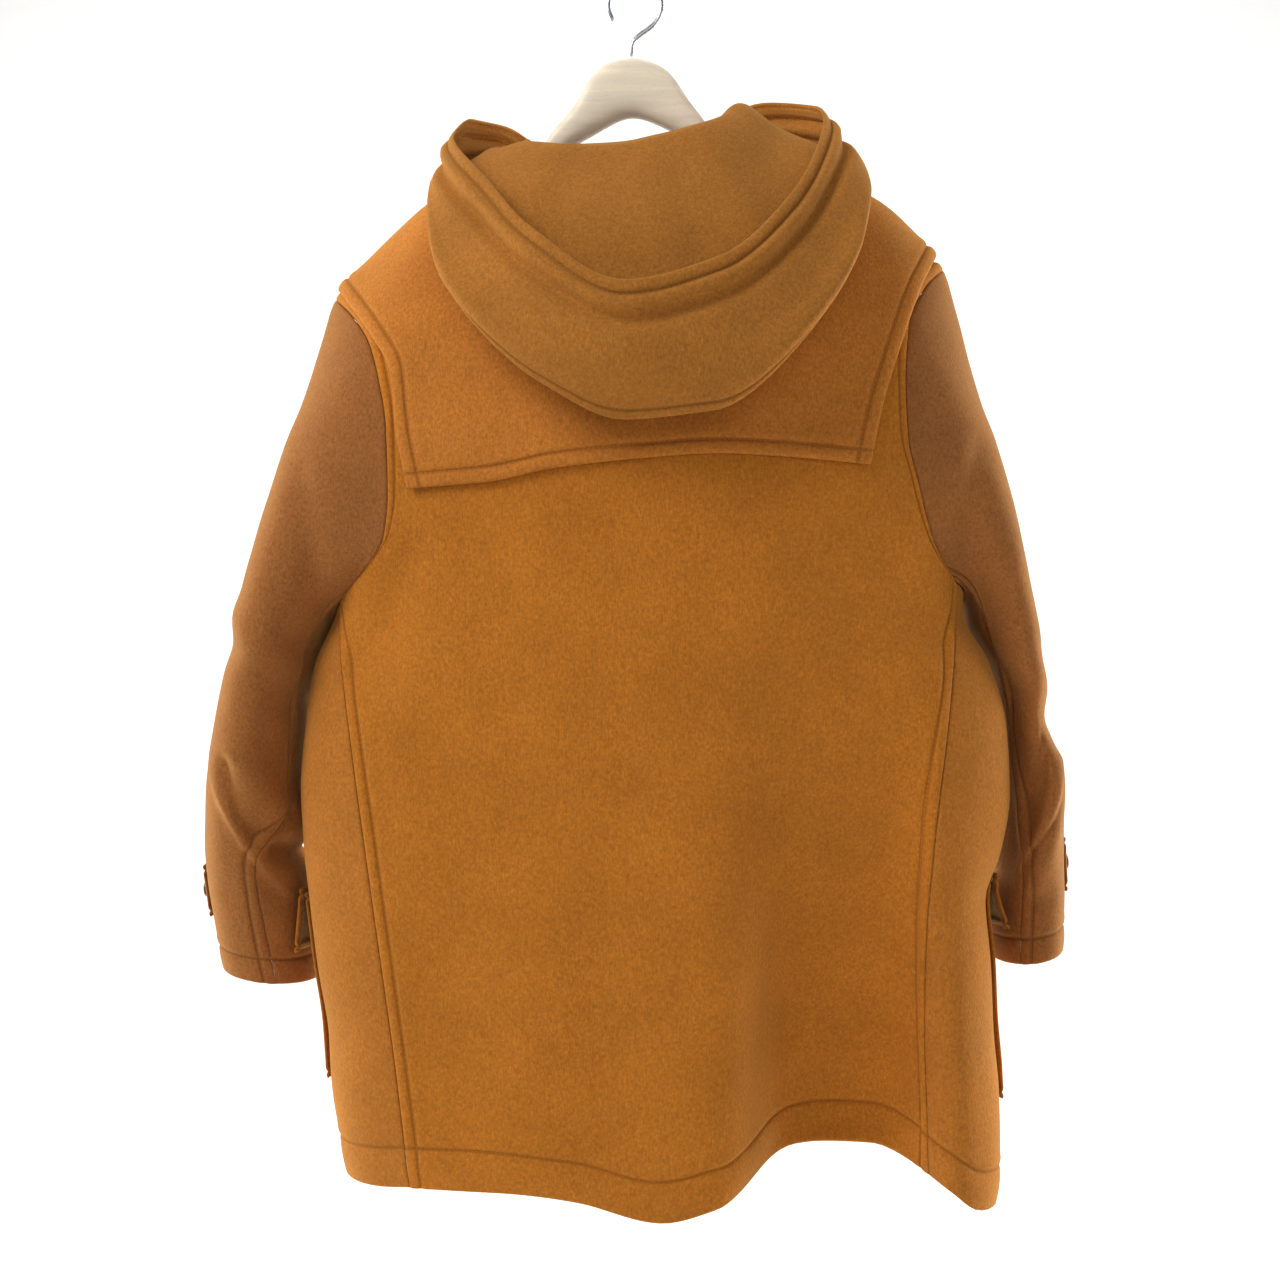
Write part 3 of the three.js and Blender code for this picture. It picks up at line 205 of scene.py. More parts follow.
# Sleeves: outer and inner points of each ring, its depth and how far forward it hangs
SLEEVE = {
    "left": table(
        "w ox oz ix iz y b",
        (0, -249, -266, -244, -520, 0, 74),
        (0.06, -262, -302, -248, -526, 2, 78),
        (0.14, -277, -360, -254, -536, 4, 80),
        (0.26, -300, -440, -262, -553, 7, 80),
        (0.4, -326, -525, -269, -588, 12, 77),
        (0.54, -345, -604, -275, -632, 20, 73),
        (0.68, -357, -668, -276, -683, 32, 68),
        (0.8, -361, -722, -276, -733, 45, 62),
        (0.9, -358, -772, -274, -782, 56, 57),
        (1, -351, -818, -271, -828, 62, 54),
    ),
    "right": table(
        "w ox oz ix iz y b",
        (0, 256, -243, 267, -504, 0, 74),
        (0.06, 268, -280, 275, -509, 4, 78),
        (0.14, 281, -334, 280, -518, 10, 80),
        (0.26, 302, -413, 285, -538, 20, 80),
        (0.4, 323, -506, 297, -573, 32, 78),
        (0.54, 340, -588, 306, -618, 42, 75),
        (0.68, 355, -655, 308, -672, 50, 71),
        (0.8, 361, -707, 303, -720, 56, 67),
        (0.9, 364, -756, 302, -768, 60, 63),
        (1, 363, -800, 305, -811, 62, 60),
    ),
}
SLEEVE_JOIN = 0.3
SLEEVE_OFF_BODY = 0.05
SLEEVE_SEAM_GAP = 0.0001
SLEEVE_FRONT_SEAM = 0.68
SLEEVE_BACK_SEAM = {
    "left": table("w turn", (0, 0.42), (0.5, 0.43), (0.66, 0.41), (0.8, 0.29), (1, 0.31)),
    "right": table("w turn", (0, 0.42), (0.5, 0.42), (0.7, 0.38), (0.85, 0.33), (1, 0.34)),
}
ELBOW = {"outer": 0.58, "inner": 0.86, "depth": 8, "above": 0.15, "below": 0.035}

# Hood by direction round the neck: radius and height of its roll, the layer on the back,
# the lower fold, the crown side and the free face edge
HOOD = table(
    "turn rollR rollZ farR farZ foldR foldZ nearR nearZ edgeR edgeZ",
    (-158, 74, -186, 77, -176, 80, -170, 82, -162, 83, -152),
    (-135, 84, -150, 89, -144, 94, -140, 99, -130, 101, -117),
    (-112, 88, -130, 97, -130, 106, -135, 111, -125, 107, -107),
    (-92, 91, -140, 108, -138, 131, -158, 137, -142, 127, -111),
    (-82, 90, -141, 111, -146, 144, -168, 150, -158, 137, -126),
    (-72, 88, -143, 114, -156, 156, -192, 160, -176, 143, -143),
    (-48, 78, -151, 119, -200, 166, -284, 171, -250, 144, -186),
    (-24, 67, -154, 112, -232, 153, -350, 172, -310, 158, -241),
    (0, 62, -152, 109, -240, 143, -379, 170, -340, 168, -282),
    (24, 68, -147, 115, -232, 163, -373, 180, -325, 168, -262),
    (48, 80, -136, 126, -196, 190, -303, 193, -268, 166, -207),
    (70, 91, -120, 126, -152, 194, -207, 196, -180, 163, -146),
    (81, 94, -108, 126, -132, 184, -163, 186, -146, 162, -120),
    (92, 95, -107, 124, -122, 168, -150, 171, -130, 158, -100),
    (114, 90, -112, 104, -112, 124, -122, 129, -108, 121, -84),
    (136, 84, -138, 91, -134, 98, -130, 103, -118, 103, -97),
    (158, 74, -184, 77, -174, 80, -166, 82, -156, 83, -142),
)
HOOD_LEVELS = {
    "seam": 0, "roll": 0.12, "far": 0.3, "before": 0.5, "fold": 0.56, "after": 0.62,
    "near": 0.72, "edge": 1,
}
HOOD_FOLD = {
    "inR": -15, "inZ": 26, "outR": 15, "outZ": 14, "shallow": 20, "deep": 80, "share": 0.5,
}
HOOD_RISE = 2.4
HOOD_SEAM_GAP = 0.1

# Patch pockets and their flaps on the fronts
POCKET_TOP = {"left": -747, "right": -733}
POCKET_BOTTOM = {"left": -900, "right": -918}
POCKET_INNER = {"left": -86, "right": 100}
POCKET_SIDE_ANGLE = math.pi / 2 + 0.02
POCKET_EDGE_LIFT = 3
POCKET_GAP = 1.8
FLAP = {"height": 52, "stand": 11, "above": 4}

# Cuff tabs
TAB_TOP = {"left": 0.815, "right": 0.8}
TAB_BOTTOM = {"left": 0.905, "right": 0.895}
TAB_TURN = {"front": -0.15, "back": 0.03}

# Front fastening
TOGGLE_Z = (-362, -480, -598)
PATCH = {"inner": 62, "outer": 98, "half": 19, "thickness": 2}
PATCH_RIGHT_SHIFT = 34

# Edge of sewn cloth: its round lip, the roll out to the sewing, the groove and the rise past it
LIP = {"depth": 1.1, "reach": 1.6}
ROLL = {"height": 1.1, "full_row": 11.0}
GROOVE = {"depth": 1.3, "half": 1.5}
RISE = {"height": 0.6, "past": 5, "half": 3.2}
EDGE_FADE = 14
PATCH_STITCH = 3.5

# Crease that follows the hood's face edge: a trough and a ridge, as distances from the edge
RIM_CREASE = {"reach": 30, "half": 6, "trough": 29, "depth": 5.5, "ridge": 19, "height": 3.0}

# Grid lines beside an edge, close together where a row of sewing runs
BARE = (0, 0.6, 1.5, 3, 6, 10)
SEWN = (0, 0.6, 1.5, 3, 5, 7, 8.4, 9.4, 10.2, 11, 11.8, 12.8, 14.4, 17, 21)
NARROW = (0, 0.6, 1.5, 2.8, 3.8, 4.6, 5.2, 6, 7.2, 9)
CUFF = (0, 0.6, 1.5, 3, 6, 11, 16, 19, 20.6, 21.6, 22.4, 23.4, 25, 28, 33)
HEM = (0, 0.6, 1.5, 3, 6, 11, 17, 23, 27, 29, 30.2, 31, 31.8, 33, 35, 39, 45)


def lerp(a, b, t):
    return a + (b - a) * t


def clamp(value, low=0.0, high=1.0):
    return max(low, min(high, value))


def smooth(t):
    t = clamp(t)
    return t * t * (3 - 2 * t)


def sign_of(side):
    return -1 if side == "left" else 1


def signed_power(value, power):
    return math.copysign(abs(value) ** power, value)


def millimetres(name):
    """A length from the cloth's properties, in millimetres."""
    return round(getattr(bpy.context.scene.coat_cloth, name) / MM, 4)


class Curve:
    """Smooth curve through one column of a table against another, held at its ends."""

    def __init__(self, rows, key, name):
        pairs = sorted((row[key], row[name]) for row in rows)
        self.places = [pair[0] for pair in pairs]
        self.values = [pair[1] for pair in pairs]
        steps = [(b[1] - a[1]) / (b[0] - a[0]) for a, b in zip(pairs, pairs[1:])]
        inner = [0 if a * b <= 0 else 2 * a * b / (a + b) for a, b in zip(steps, steps[1:])]
        self.slopes = [steps[0], *inner, steps[-1]]

    def __call__(self, at):
        if at <= self.places[0]:
            return self.values[0]
        if at >= self.places[-1]:
            return self.values[-1]
        k = bisect_right(self.places, at) - 1
        width = self.places[k + 1] - self.places[k]
        t = (at - self.places[k]) / width
        t2 = t * t
        t3 = t2 * t
        return (
            (2 * t3 - 3 * t2 + 1) * self.values[k]
            + (t3 - 2 * t2 + t) * width * self.slopes[k]
            + (3 * t2 - 2 * t3) * self.values[k + 1]
            + (t3 - t2) * width * self.slopes[k + 1]
        )


def curves(rows, key):
    """A curve for each other column of a table."""
    return {name: Curve(rows, key, name) for name in rows[0] if name != key}


BODY_AT = curves(BODY, "z")
ridge_z = Curve(RIDGE, "x", "z")
hem_z = Curve(HEM_BACK, "x", "z")
yoke_edge_z = Curve(YOKE_EDGE, "x", "z")
ARMHOLE_X = {side: Curve(ARMHOLE[side], "z", "x") for side in SIDES}
SIDE_SEAM_X = {side: Curve(SIDE_SEAM[side], "z", "x") for side in SIDES}
YOKE_SIDE_X = {side: Curve(YOKE_SIDE[side], "z", "x") for side in SIDES}
SLEEVE_AT = {side: curves(SLEEVE[side], "w") for side in SIDES}
BACK_SEAM_TURN = {side: Curve(SLEEVE_BACK_SEAM[side], "w", "turn") for side in SIDES}
HOOD_AT = curves(HOOD, "turn")


def bell(distance, half_width):
    """Soft bell, 1 in the middle and 0 from half_width out."""
    return (1 + math.cos(math.pi * clamp(abs(distance) / half_width))) / 2


def back_fold(x, z):
    """How far the back is pushed forward by its folds."""
    deepen = smooth((TROUGH["top"] - z) / (TROUGH["top"] - TROUGH["bottom"]))
    swell = smooth((BULGE["top"] - z) / (BULGE["top"] - BULGE["bottom"]))
    wall = max(0, abs(x - TROUGH["x"]) - TROUGH["flat"])
    trough = bell(wall, TROUGH["half_width"] - TROUGH["flat"])
    bulge = bell(x - BULGE["x"], BULGE["half_width"])
    return TROUGH["depth"] * deepen * trough - BULGE["depth"] * swell * bulge


def body_point(angle, z):
    """Outer face of the body: angle 0 is the middle of the back, pi the middle of the front."""
    left, right = BODY_AT["left"](z), BODY_AT["right"](z)
    power = 2 / SECTION_POWER
    x = (left + right) / 2 + (right - left) / 2 * signed_power(math.sin(angle), power)
    rise = clamp((ridge_z(x) - z) / SHOULDER_ROUND)
    rounding = math.sqrt(1 - (1 - rise) ** 2)
    across = signed_power(math.cos(angle), power)
    depth = BODY_AT["back"](z) if across > 0 else BODY_AT["front"](z)
    fold = back_fold(x, z) * across if across > 0 else 0
    return Vector((x, -depth * across * rounding + fold, z))


def angle_at(x, z, front):
    """Angle of the body's surface at a given x, on the back or the front."""
    left, right = BODY_AT["left"](z), BODY_AT["right"](z)
    share = clamp((x - (left + right) / 2) / ((right - left) / 2), -1, 1)
    angle = math.asin(signed_power(share, SECTION_POWER / 2))
    if not front:
        return angle
    return -math.pi - angle if share < 0 else math.pi - angle


def top_z(x, drop):
    """Height of the top edge: shoulder line outside the neck, scooped inside it."""
    t = (x - NECK_X) / NECK_HALF
    if abs(t) >= 1:
        return ridge_z(x)
    line = lerp(ridge_z(NECK_X - NECK_HALF), ridge_z(NECK_X + NECK_HALF), (t + 1) / 2)
    return line - drop * math.sqrt(1 - t * t)


def front_hem_z(x):
    return lerp(HEM_FRONT["left"], HEM_FRONT["right"], (x + 235) / 530)


def side_hem_z(side, angle):
    """Hem height round a side: the back's waves to the silhouette, then level to the front."""
    x = body_point(angle, HEM_FRONT["left"]).x
    past = abs(angle) - math.pi / 2
    if past < 0:
        return hem_z(x)
    return lerp(hem_z(sign_of(side) * 300), front_hem_z(x), smooth(past))


@lru_cache(maxsize=None)
def armhole(side, turn):
    """Armhole as a closed loop on the body: turn 0 is the shoulder tip, then back, underarm, front."""
    t = turn - math.floor(turn)
    z = lerp(TIP_Z[side], UNDERARM_Z[side], (1 - math.cos(2 * math.pi * t)) / 2)
    near = smooth((z - UNDERARM_Z[side]) / 14)
    x = lerp(BODY_AT[side](z), ARMHOLE_X[side](z), near)
    angle = angle_at(x, z, t > 0.5)
    return angle, z, body_point(angle, z)


@lru_cache(maxsize=None)
def underarm_z(side, angle):
    """Height of the armhole between the felled seam and its front corner, at an angle."""
    low, high = 0.4, 0.75
    for _ in range(30):
        middle = (low + high) / 2
        if sign_of(side) * armhole(side, middle)[0] < sign_of(side) * angle:
            low = middle
        else:
            high = middle
    return armhole(side, low)[1]


def seam_foot_z(side):
    return hem_z(SEAM_FOOT_X[side])


def seam_top_z(side):
    return lerp(seam_foot_z(side), TIP_Z[side], SEAM_TOP)


def back_surface(u, v):
    """Back panel: u from the left armhole to the right one, v from the hem to the neck."""
    edge = {}
    for side in SIDES:
        z = lerp(seam_foot_z(side), TIP_Z[side], v)
        outline = ARMHOLE_X if z > seam_top_z(side) else SIDE_SEAM_X
        edge[side] = outline[side](z) - sign_of(side) * SEAM_GAP / 2
    low = hem_z(lerp(SEAM_FOOT_X["left"], SEAM_FOOT_X["right"], u))
    high = top_z(lerp(TIP_X["left"], TIP_X["right"], u), NECK_DROP_BACK)
    z = lerp(low, high, v)
    place = body_point(angle_at(lerp(edge["left"], edge["right"], u), z, False), z)
    place.y -= SEAM_GAP / 2
    return place


def front_surface(side):
    """Front panel: u from the felled seam round the side to the front edge, v upwards."""
    sign = sign_of(side)
    seam_top = seam_top_z(side)
    corner = ARMHOLE_CORNER_Z[side]
    corner_x = ARMHOLE_X[side](corner)
    inset = 0 if side == "left" else millimetres("cloth_thickness") + 3 * LAYER_GAP
    edge = FRONT_EDGE_X[side]

    def seam_angle(z):
        return angle_at(SIDE_SEAM_X[side](z), z, False) + sign * SEAM_ANGLE

    def chest_x(z):
        return lerp(FRONT_SIDE_HEM_X[side], corner_x, smooth((z + 985) / (corner + 985)))

    top_angles = (seam_angle(seam_top), angle_at(corner_x, corner, True))

    def at(u, v):
        across = clamp((u - SIDE_SPLIT) / (1 - SIDE_SPLIT))
        round_side = clamp(u / SIDE_SPLIT)
        rise = clamp(v / FRONT_SPLIT)
        above = clamp((v - FRONT_SPLIT) / (1 - FRONT_SPLIT))
        if u < SIDE_SPLIT:
            top_angle = lerp(*top_angles, round_side)
            high = underarm_z(side, round(top_angle, 9))

            def plain(z):
                return lerp(seam_angle(min(z, seam_top)), angle_at(chest_x(z), z, True), round_side)

            z = lerp(side_hem_z(side, plain(HEM_FRONT["left"])), high, rise)
            place = body_point(plain(z) + (top_angle - plain(high)) * rise**3, z)
        else:
            if v < FRONT_SPLIT:
                foot_x = lerp(FRONT_SIDE_HEM_X[side], edge, across)
                z = lerp(side_hem_z(side, angle_at(foot_x, HEM_FRONT["left"], True)), corner, rise)
                x = lerp(chest_x(z), edge, across)
            else:
                z = lerp(corner, top_z(lerp(TIP_X[side], edge, across), NECK_DROP_FRONT), above)
                x = lerp(ARMHOLE_X[side](lerp(corner, TIP_Z[side], above)), edge, across)
            place = body_point(angle_at(x, z, True), z)
        place.y += SEAM_GAP / 2
        if place.y > 20:
            place.y -= inset * smooth((UNDERLAP_START - place.x) / UNDERLAP_RAMP)
        return place

    return at


def yoke_back_surface(u, v):
    """Back of the yoke: u from left to right, v from its lower edge to the neck."""
    edge = {}
    for side in SIDES:
        z = lerp(YOKE_LOW[side][1], ridge_z(YOKE_TIP[side]), v)
        edge[side] = YOKE_SIDE_X[side](z)
    low = yoke_edge_z(lerp(YOKE_LOW["left"][0], YOKE_LOW["right"][0], u))
    high = top_z(lerp(YOKE_TIP["left"], YOKE_TIP["right"], u), NECK_DROP_BACK)
    z = lerp(low, high, v)
    place = body_point(angle_at(lerp(edge["left"], edge["right"], u), z, False), z)
    place.y -= SEAM_GAP / 2
    return place


def yoke_front_surface(side):
    """Front of the yoke: u from the shoulder's tip to the neck, v upwards."""

    def at(u, v):
        outer = lerp(YOKE_FRONT_OUTER[side], YOKE_TIP[side], v)
        neck = NECK_X + sign_of(side) * (NECK_HALF + 3)
        inner = lerp(YOKE_FRONT_INNER[side], neck, v)
        high = ridge_z(lerp(YOKE_TIP[side], neck, u))
        z = lerp(YOKE_FRONT_Z[side], high, v)
        place = body_point(angle_at(lerp(outer, inner, u), z, True), z)
        place.y += SEAM_GAP / 2
        return place

    return at


def sleeve_surface(side):
    """Sleeve: turn goes round from the top by the back, w along from armhole to cuff."""
    rows = SLEEVE_AT[side]
    sign = sign_of(side)

    def at(turn, w):
        angle = 2 * math.pi * turn
        ring = {name: rows[name](w) for name in rows}
        line = lerp(ELBOW["outer"], ELBOW["inner"], (1 - math.cos(angle)) / 2)
        span = ELBOW["above"] if w < line else ELBOW["below"]
        crease = ELBOW["depth"] * bell(w - line, span) * max(0, math.sin(angle))
        half = (1 + math.cos(angle)) / 2
        place = Vector((lerp(ring["ix"], ring["ox"], half), ring["y"], lerp(ring["iz"], ring["oz"], half)))
        place.y -= math.sin(angle) * (ring["b"] + crease)
        loop = armhole(side, turn)[2].copy()
        loop.x += sign * SLEEVE_OFF_BODY
        return loop.lerp(place, smooth(w / SLEEVE_JOIN))

    return at


def sleeve_upper(side):
    at = sleeve_surface(side)
    start = SLEEVE_FRONT_SEAM - 1 + SLEEVE_SEAM_GAP
    return lambda u, w: at(lerp(start, BACK_SEAM_TURN[side](w) - SLEEVE_SEAM_GAP, u), w)


def sleeve_under(side):
    at = sleeve_surface(side)
    end = SLEEVE_FRONT_SEAM - SLEEVE_SEAM_GAP
    return lambda u, w: at(lerp(BACK_SEAM_TURN[side](w) + SLEEVE_SEAM_GAP, end, u), w)


def centripetal(points, k, t):
    """Point at share t of stretch k of a centripetal spline through points."""
    last = len(points) - 1
    p1, p2 = points[k], points[k + 1]
    p0 = points[k - 1] if k > 0 else p1 * 2 - p2
    p3 = points[k + 2] if k + 2 <= last else p2 * 2 - p1
    d0, d1, d2 = (math.sqrt(max((b - a).length, 1e-4)) for a, b in ((p0, p1), (p1, p2), (p2, p3)))
    m1 = ((p1 - p0) / d0 - (p2 - p0) / (d0 + d1) + (p2 - p1) / d1) * d1
    m2 = ((p2 - p1) / d1 - (p3 - p1) / (d1 + d2) + (p3 - p2) / d2) * d1
    t2, t3 = t * t, t * t * t
    return (
        p1 * (2 * t3 - 3 * t2 + 1) + m1 * (t3 - 2 * t2 + t)
        + p2 * (3 * t2 - 2 * t3) + m2 * (t3 - t2)
    )


@lru_cache(maxsize=None)
def hood_profile(u):
    """Section of the hood at one direction: its points, the direction and the neck's shift."""
    turn = lerp(HOOD[0]["turn"], HOOD[-1]["turn"], u)
    angle = math.radians(turn)
    neck_x = NECK_X + NECK_HALF * math.sin(angle)
    front = abs(turn) > 90
    neck_z = top_z(neck_x, NECK_DROP_FRONT if front else NECK_DROP_BACK)
    neck_y = body_point(angle_at(neck_x, neck_z, front), neck_z).y
    seam = Vector((neck_x, neck_y, neck_z + millimetres("yoke_thickness") + YOKE_GAP + HOOD_RISE))
    neck_r = math.hypot(neck_x - NECK_X, neck_y)

    def level(name):
        return Vector((HOOD_AT[name + "R"](turn), HOOD_AT[name + "Z"](turn), 0))

    fold, far, near = level("fold"), level("far"), level("near")
    depth = far.y - fold.y
    rounding = clamp((depth - HOOD_FOLD["shallow"]) / (HOOD_FOLD["deep"] - HOOD_FOLD["shallow"]))
    inward = fold + Vector((HOOD_FOLD["inR"], HOOD_FOLD["inZ"], 0))
    outward = fold + Vector((HOOD_FOLD["outR"], HOOD_FOLD["outZ"], 0))
    points = [
        Vector((neck_r, seam.z, 0)),
        level("roll"),
        far,
        far.lerp(fold, HOOD_FOLD["share"]).lerp(inward, rounding),
        fold,
        fold.lerp(near, HOOD_FOLD["share"]).lerp(outward, rounding),
        near,
        level("edge"),
    ]
    start = Vector((NECK_X + neck_r * math.sin(angle), -neck_r * math.cos(angle), seam.z))
    return points, angle, seam - start


def hood_surface(u, v):
    """Hood: u goes round the neck from throat to throat, v from neck seam to face edge."""
    points, angle, shift = hood_profile(u)
    levels = list(HOOD_LEVELS.values())
    k = 0
    while k < len(levels) - 2 and v > levels[k + 1]:
        k += 1
    place = centripetal(points, k, (v - levels[k]) / (levels[k + 1] - levels[k]))
    flat = Vector((NECK_X + place.x * math.sin(angle), -place.x * math.cos(angle), place.y))
    return flat + shift * (1 - smooth(v / HOOD_LEVELS["roll"]))


def pocket_surface(side, low, high):
    """Stretch of the front from the side to a pocket's inner edge, between two heights."""

    def at(u, v):
        z = lerp(low, high, v)
        angle = lerp(sign_of(side) * POCKET_SIDE_ANGLE, angle_at(POCKET_INNER[side], z, True), u)
        place = body_point(angle, z)
        place.y += SEAM_GAP / 2
        return place

    return at


def pocket_lift(u):
    return POCKET_GAP + millimetres("cloth_thickness") + POCKET_EDGE_LIFT * (1 - smooth(u * 3))


def flap_lift(u, v):
    stand = FLAP["stand"] * (1 - v) * (1 - smooth(u * 1.6))
    return pocket_lift(u) + LAYER_GAP + millimetres("cloth_thickness") + stand


def patch_surface(low_x, high_x, z):
    """Stretch of the closed front under a leather patch."""

    def at(u, v):
        height = lerp(z - PATCH["half"], z + PATCH["half"], v)
        place = body_point(angle_at(lerp(low_x, high_x, u), height, True), height)
        place.y += SEAM_GAP / 2
        return place

    return at


# Soft folds: a line of points seen from behind, the half width of the trough,
# and its depth. A negative depth makes a ridge.
def folds(*rows):
    return [
        {"line": [Vector(point) for point in line], "half": half, "depth": depth}
        for line, half, depth in rows
    ]


FOLDS = {
    "back": folds(
        ([(-118, -470), (-96, -560), (-92, -690)], 34, 3.4),
        ([(40, -440), (30, -600), (52, -760)], 46, -3.2),
        ([(150, -470), (196, -600), (216, -700)], 30, 3.6),
        ([(-70, -780), (-62, -870), (-80, -955)], 34, -3.4),
        ([(-150, -620), (-140, -760), (-132, -900)], 30, 3.0),
        ([(192, -470), (228, -536), (258, -560)], 15, 3.6),
        ([(206, -448), (240, -512), (268, -534)], 14, -2.4),
        ([(-168, -480), (-204, -546), (-236, -566)], 15, 3.6),
        ([(-184, -462), (-214, -524), (-240, -544)], 14, -2.4),
        ([(228, -560), (250, -640), (262, -760)], 26, -3.0),
        ([(146, -600), (170, -740), (176, -900)], 56, 10.0),
        ([(52, -720), (56, -900)], 46, -5.0),
    ),
    "front_left": folds(
        ([(-170, -520), (-130, -600), (-120, -700)], 26, 3.2),
        ([(-60, -640), (-64, -800), (-52, -940)], 34, -3.4),
    ),
    "front_right": folds(
        ([(180, -510), (146, -600), (130, -700)], 26, 3.2),
        ([(70, -640), (76, -800), (60, -940)], 34, -3.4),
    ),
    "sleeve_left": folds(
        (
            [(-326, -640), (-314, -680), (-297, -704), (-258, -728)],
            8, 8.5,
        ),
        (
            [(-312, -630), (-300, -660), (-284, -682), (-256, -704)],
            14, -8.0,
        ),
        ([(-330, -540), (-306, -560), (-276, -590)], 14, 3.2),
        ([(-322, -516), (-298, -534), (-270, -560)], 13, -2.6),
        ([(-262, -410), (-250, -468), (-246, -512)], 12, 4.2),
        ([(-286, -380), (-286, -470), (-298, -540)], 24, -3.4),
        ([(-330, -748), (-300, -746)], 11, 2.4),
    ),
    "sleeve_right": folds(
        ([(346, -640), (342, -672), (334, -706), (322, -740)], 11, -5.0),
        ([(330, -620), (324, -660), (314, -700), (304, -738)], 9, 6.0),
        ([(276, -548), (302, -580), (336, -604)], 12, 4.2),
        ([(280, -528), (306, -556), (338, -578)], 12, -3.0),
        ([(270, -392), (260, -446), (266, -494)], 12, 4.2),
        ([(296, -380), (304, -460), (320, -530)], 24, -3.4),
        ([(338, -752), (316, -748)], 10, 2.4),
    ),
}


def distance_to_line(place, line):
    """Distance from a point, seen from behind, to the nearest stretch of a line."""
    best = math.inf
    spot = Vector((place.x, place.z))
    for a, b in zip(line, line[1:]):
        along = b - a
        share = clamp((spot - a).dot(along) / along.length_squared)
        best = min(best, (spot - a - along * share).length)
    return best


def fold_lift(key, place):
    """How far the listed folds move the cloth out at a point."""
    total = 0.0
    for fold in FOLDS.get(key, ()):
        distance = distance_to_line(place, fold["line"])
        if distance < 3 * fold["half"]:
            total -= fold["depth"] * math.exp(-((distance / fold["half"]) ** 2))
    return total


def unevenness(place):
    """Slow waviness of thick fulled cloth, in millimetres."""
    spot = place * 0.011
    return 1.1 * noise.noise(spot) + 0.45 * noise.noise(spot * 2.7 + Vector((7, 3, 1)))


def sewn_profile(distance, row):
    """Lift beside an edge: a round lip, a soft roll and the groove of the row of sewing."""
    lift = -LIP["depth"] * max(0.0, 1 - distance / LIP["reach"]) ** 2
    if row:
        if distance < row:
            share = min(1, row / ROLL["full_row"])
            lift += ROLL["height"] * math.sin(math.pi * distance / row) * share
        lift -= GROOVE["depth"] * math.exp(-(((distance - row) / GROOVE["half"]) ** 2))
        lift += RISE["height"] * math.exp(-(((distance - row - RISE["past"]) / RISE["half"]) ** 2))
    return lift


def line_places(total, low, high, middle):
    """Grid lines along a stretch of cloth: close by each edge, and evenly between."""
    squeeze = min(1.0, 0.8 * total / (low[-1] + high[-1]))
    first = [squeeze * mm for mm in low]
    last = [total - squeeze * mm for mm in reversed(high)]
    gap = last[0] - first[-1]
    between = [first[-1] + gap * k / (middle + 1) for k in range(1, middle + 1)]
    return [*first, *between, *last]


def lay_out(at, ends, counts, samples=33):
    """Surface shares (u, v) of each grid crossing, with the lines a true distance from the edges."""
    steps = np.linspace(0, 1, samples)
    places = np.array([[at(u, v)[:] for u in steps] for v in steps])
    travelled = []
    for axis in (1, 0):
        legs = np.linalg.norm(np.diff(places, axis=axis), axis=2)
        start = np.zeros_like(np.take(legs, [0], axis=axis))
        travelled.append(np.concatenate([start, np.cumsum(legs, axis=axis)], axis=axis))
    across, along = travelled[0], travelled[1].T
    shares = []
    for lengths, (low, high), count in zip((across, along), ends, counts):
        shares.append(np.array([
            np.interp(line_places(row[-1], low, high, count), row, steps) for row in lengths
        ]))
    us, vs = shares
    nominal = us.mean(axis=0)
    columns, rows = us.shape[1], vs.shape[1]
    grid_v = np.array([
        [np.interp(nominal[i], steps, vs[:, j]) for i in range(columns)] for j in range(rows)
    ])
    grid_u = np.array([
        [np.interp(grid_v[j][i], steps, us[:, i]) for i in range(columns)] for j in range(rows)
    ])
    return grid_u, grid_v


def panel(name, at, ends, counts, rows_of_sewing, settings, **options):
    """Piece of cloth laid out evenly over a surface at(u, v)."""
    grid_u, grid_v = lay_out(at, ends, counts)
    return cloth(name, at, grid_u, grid_v, rows_of_sewing, settings, **options)


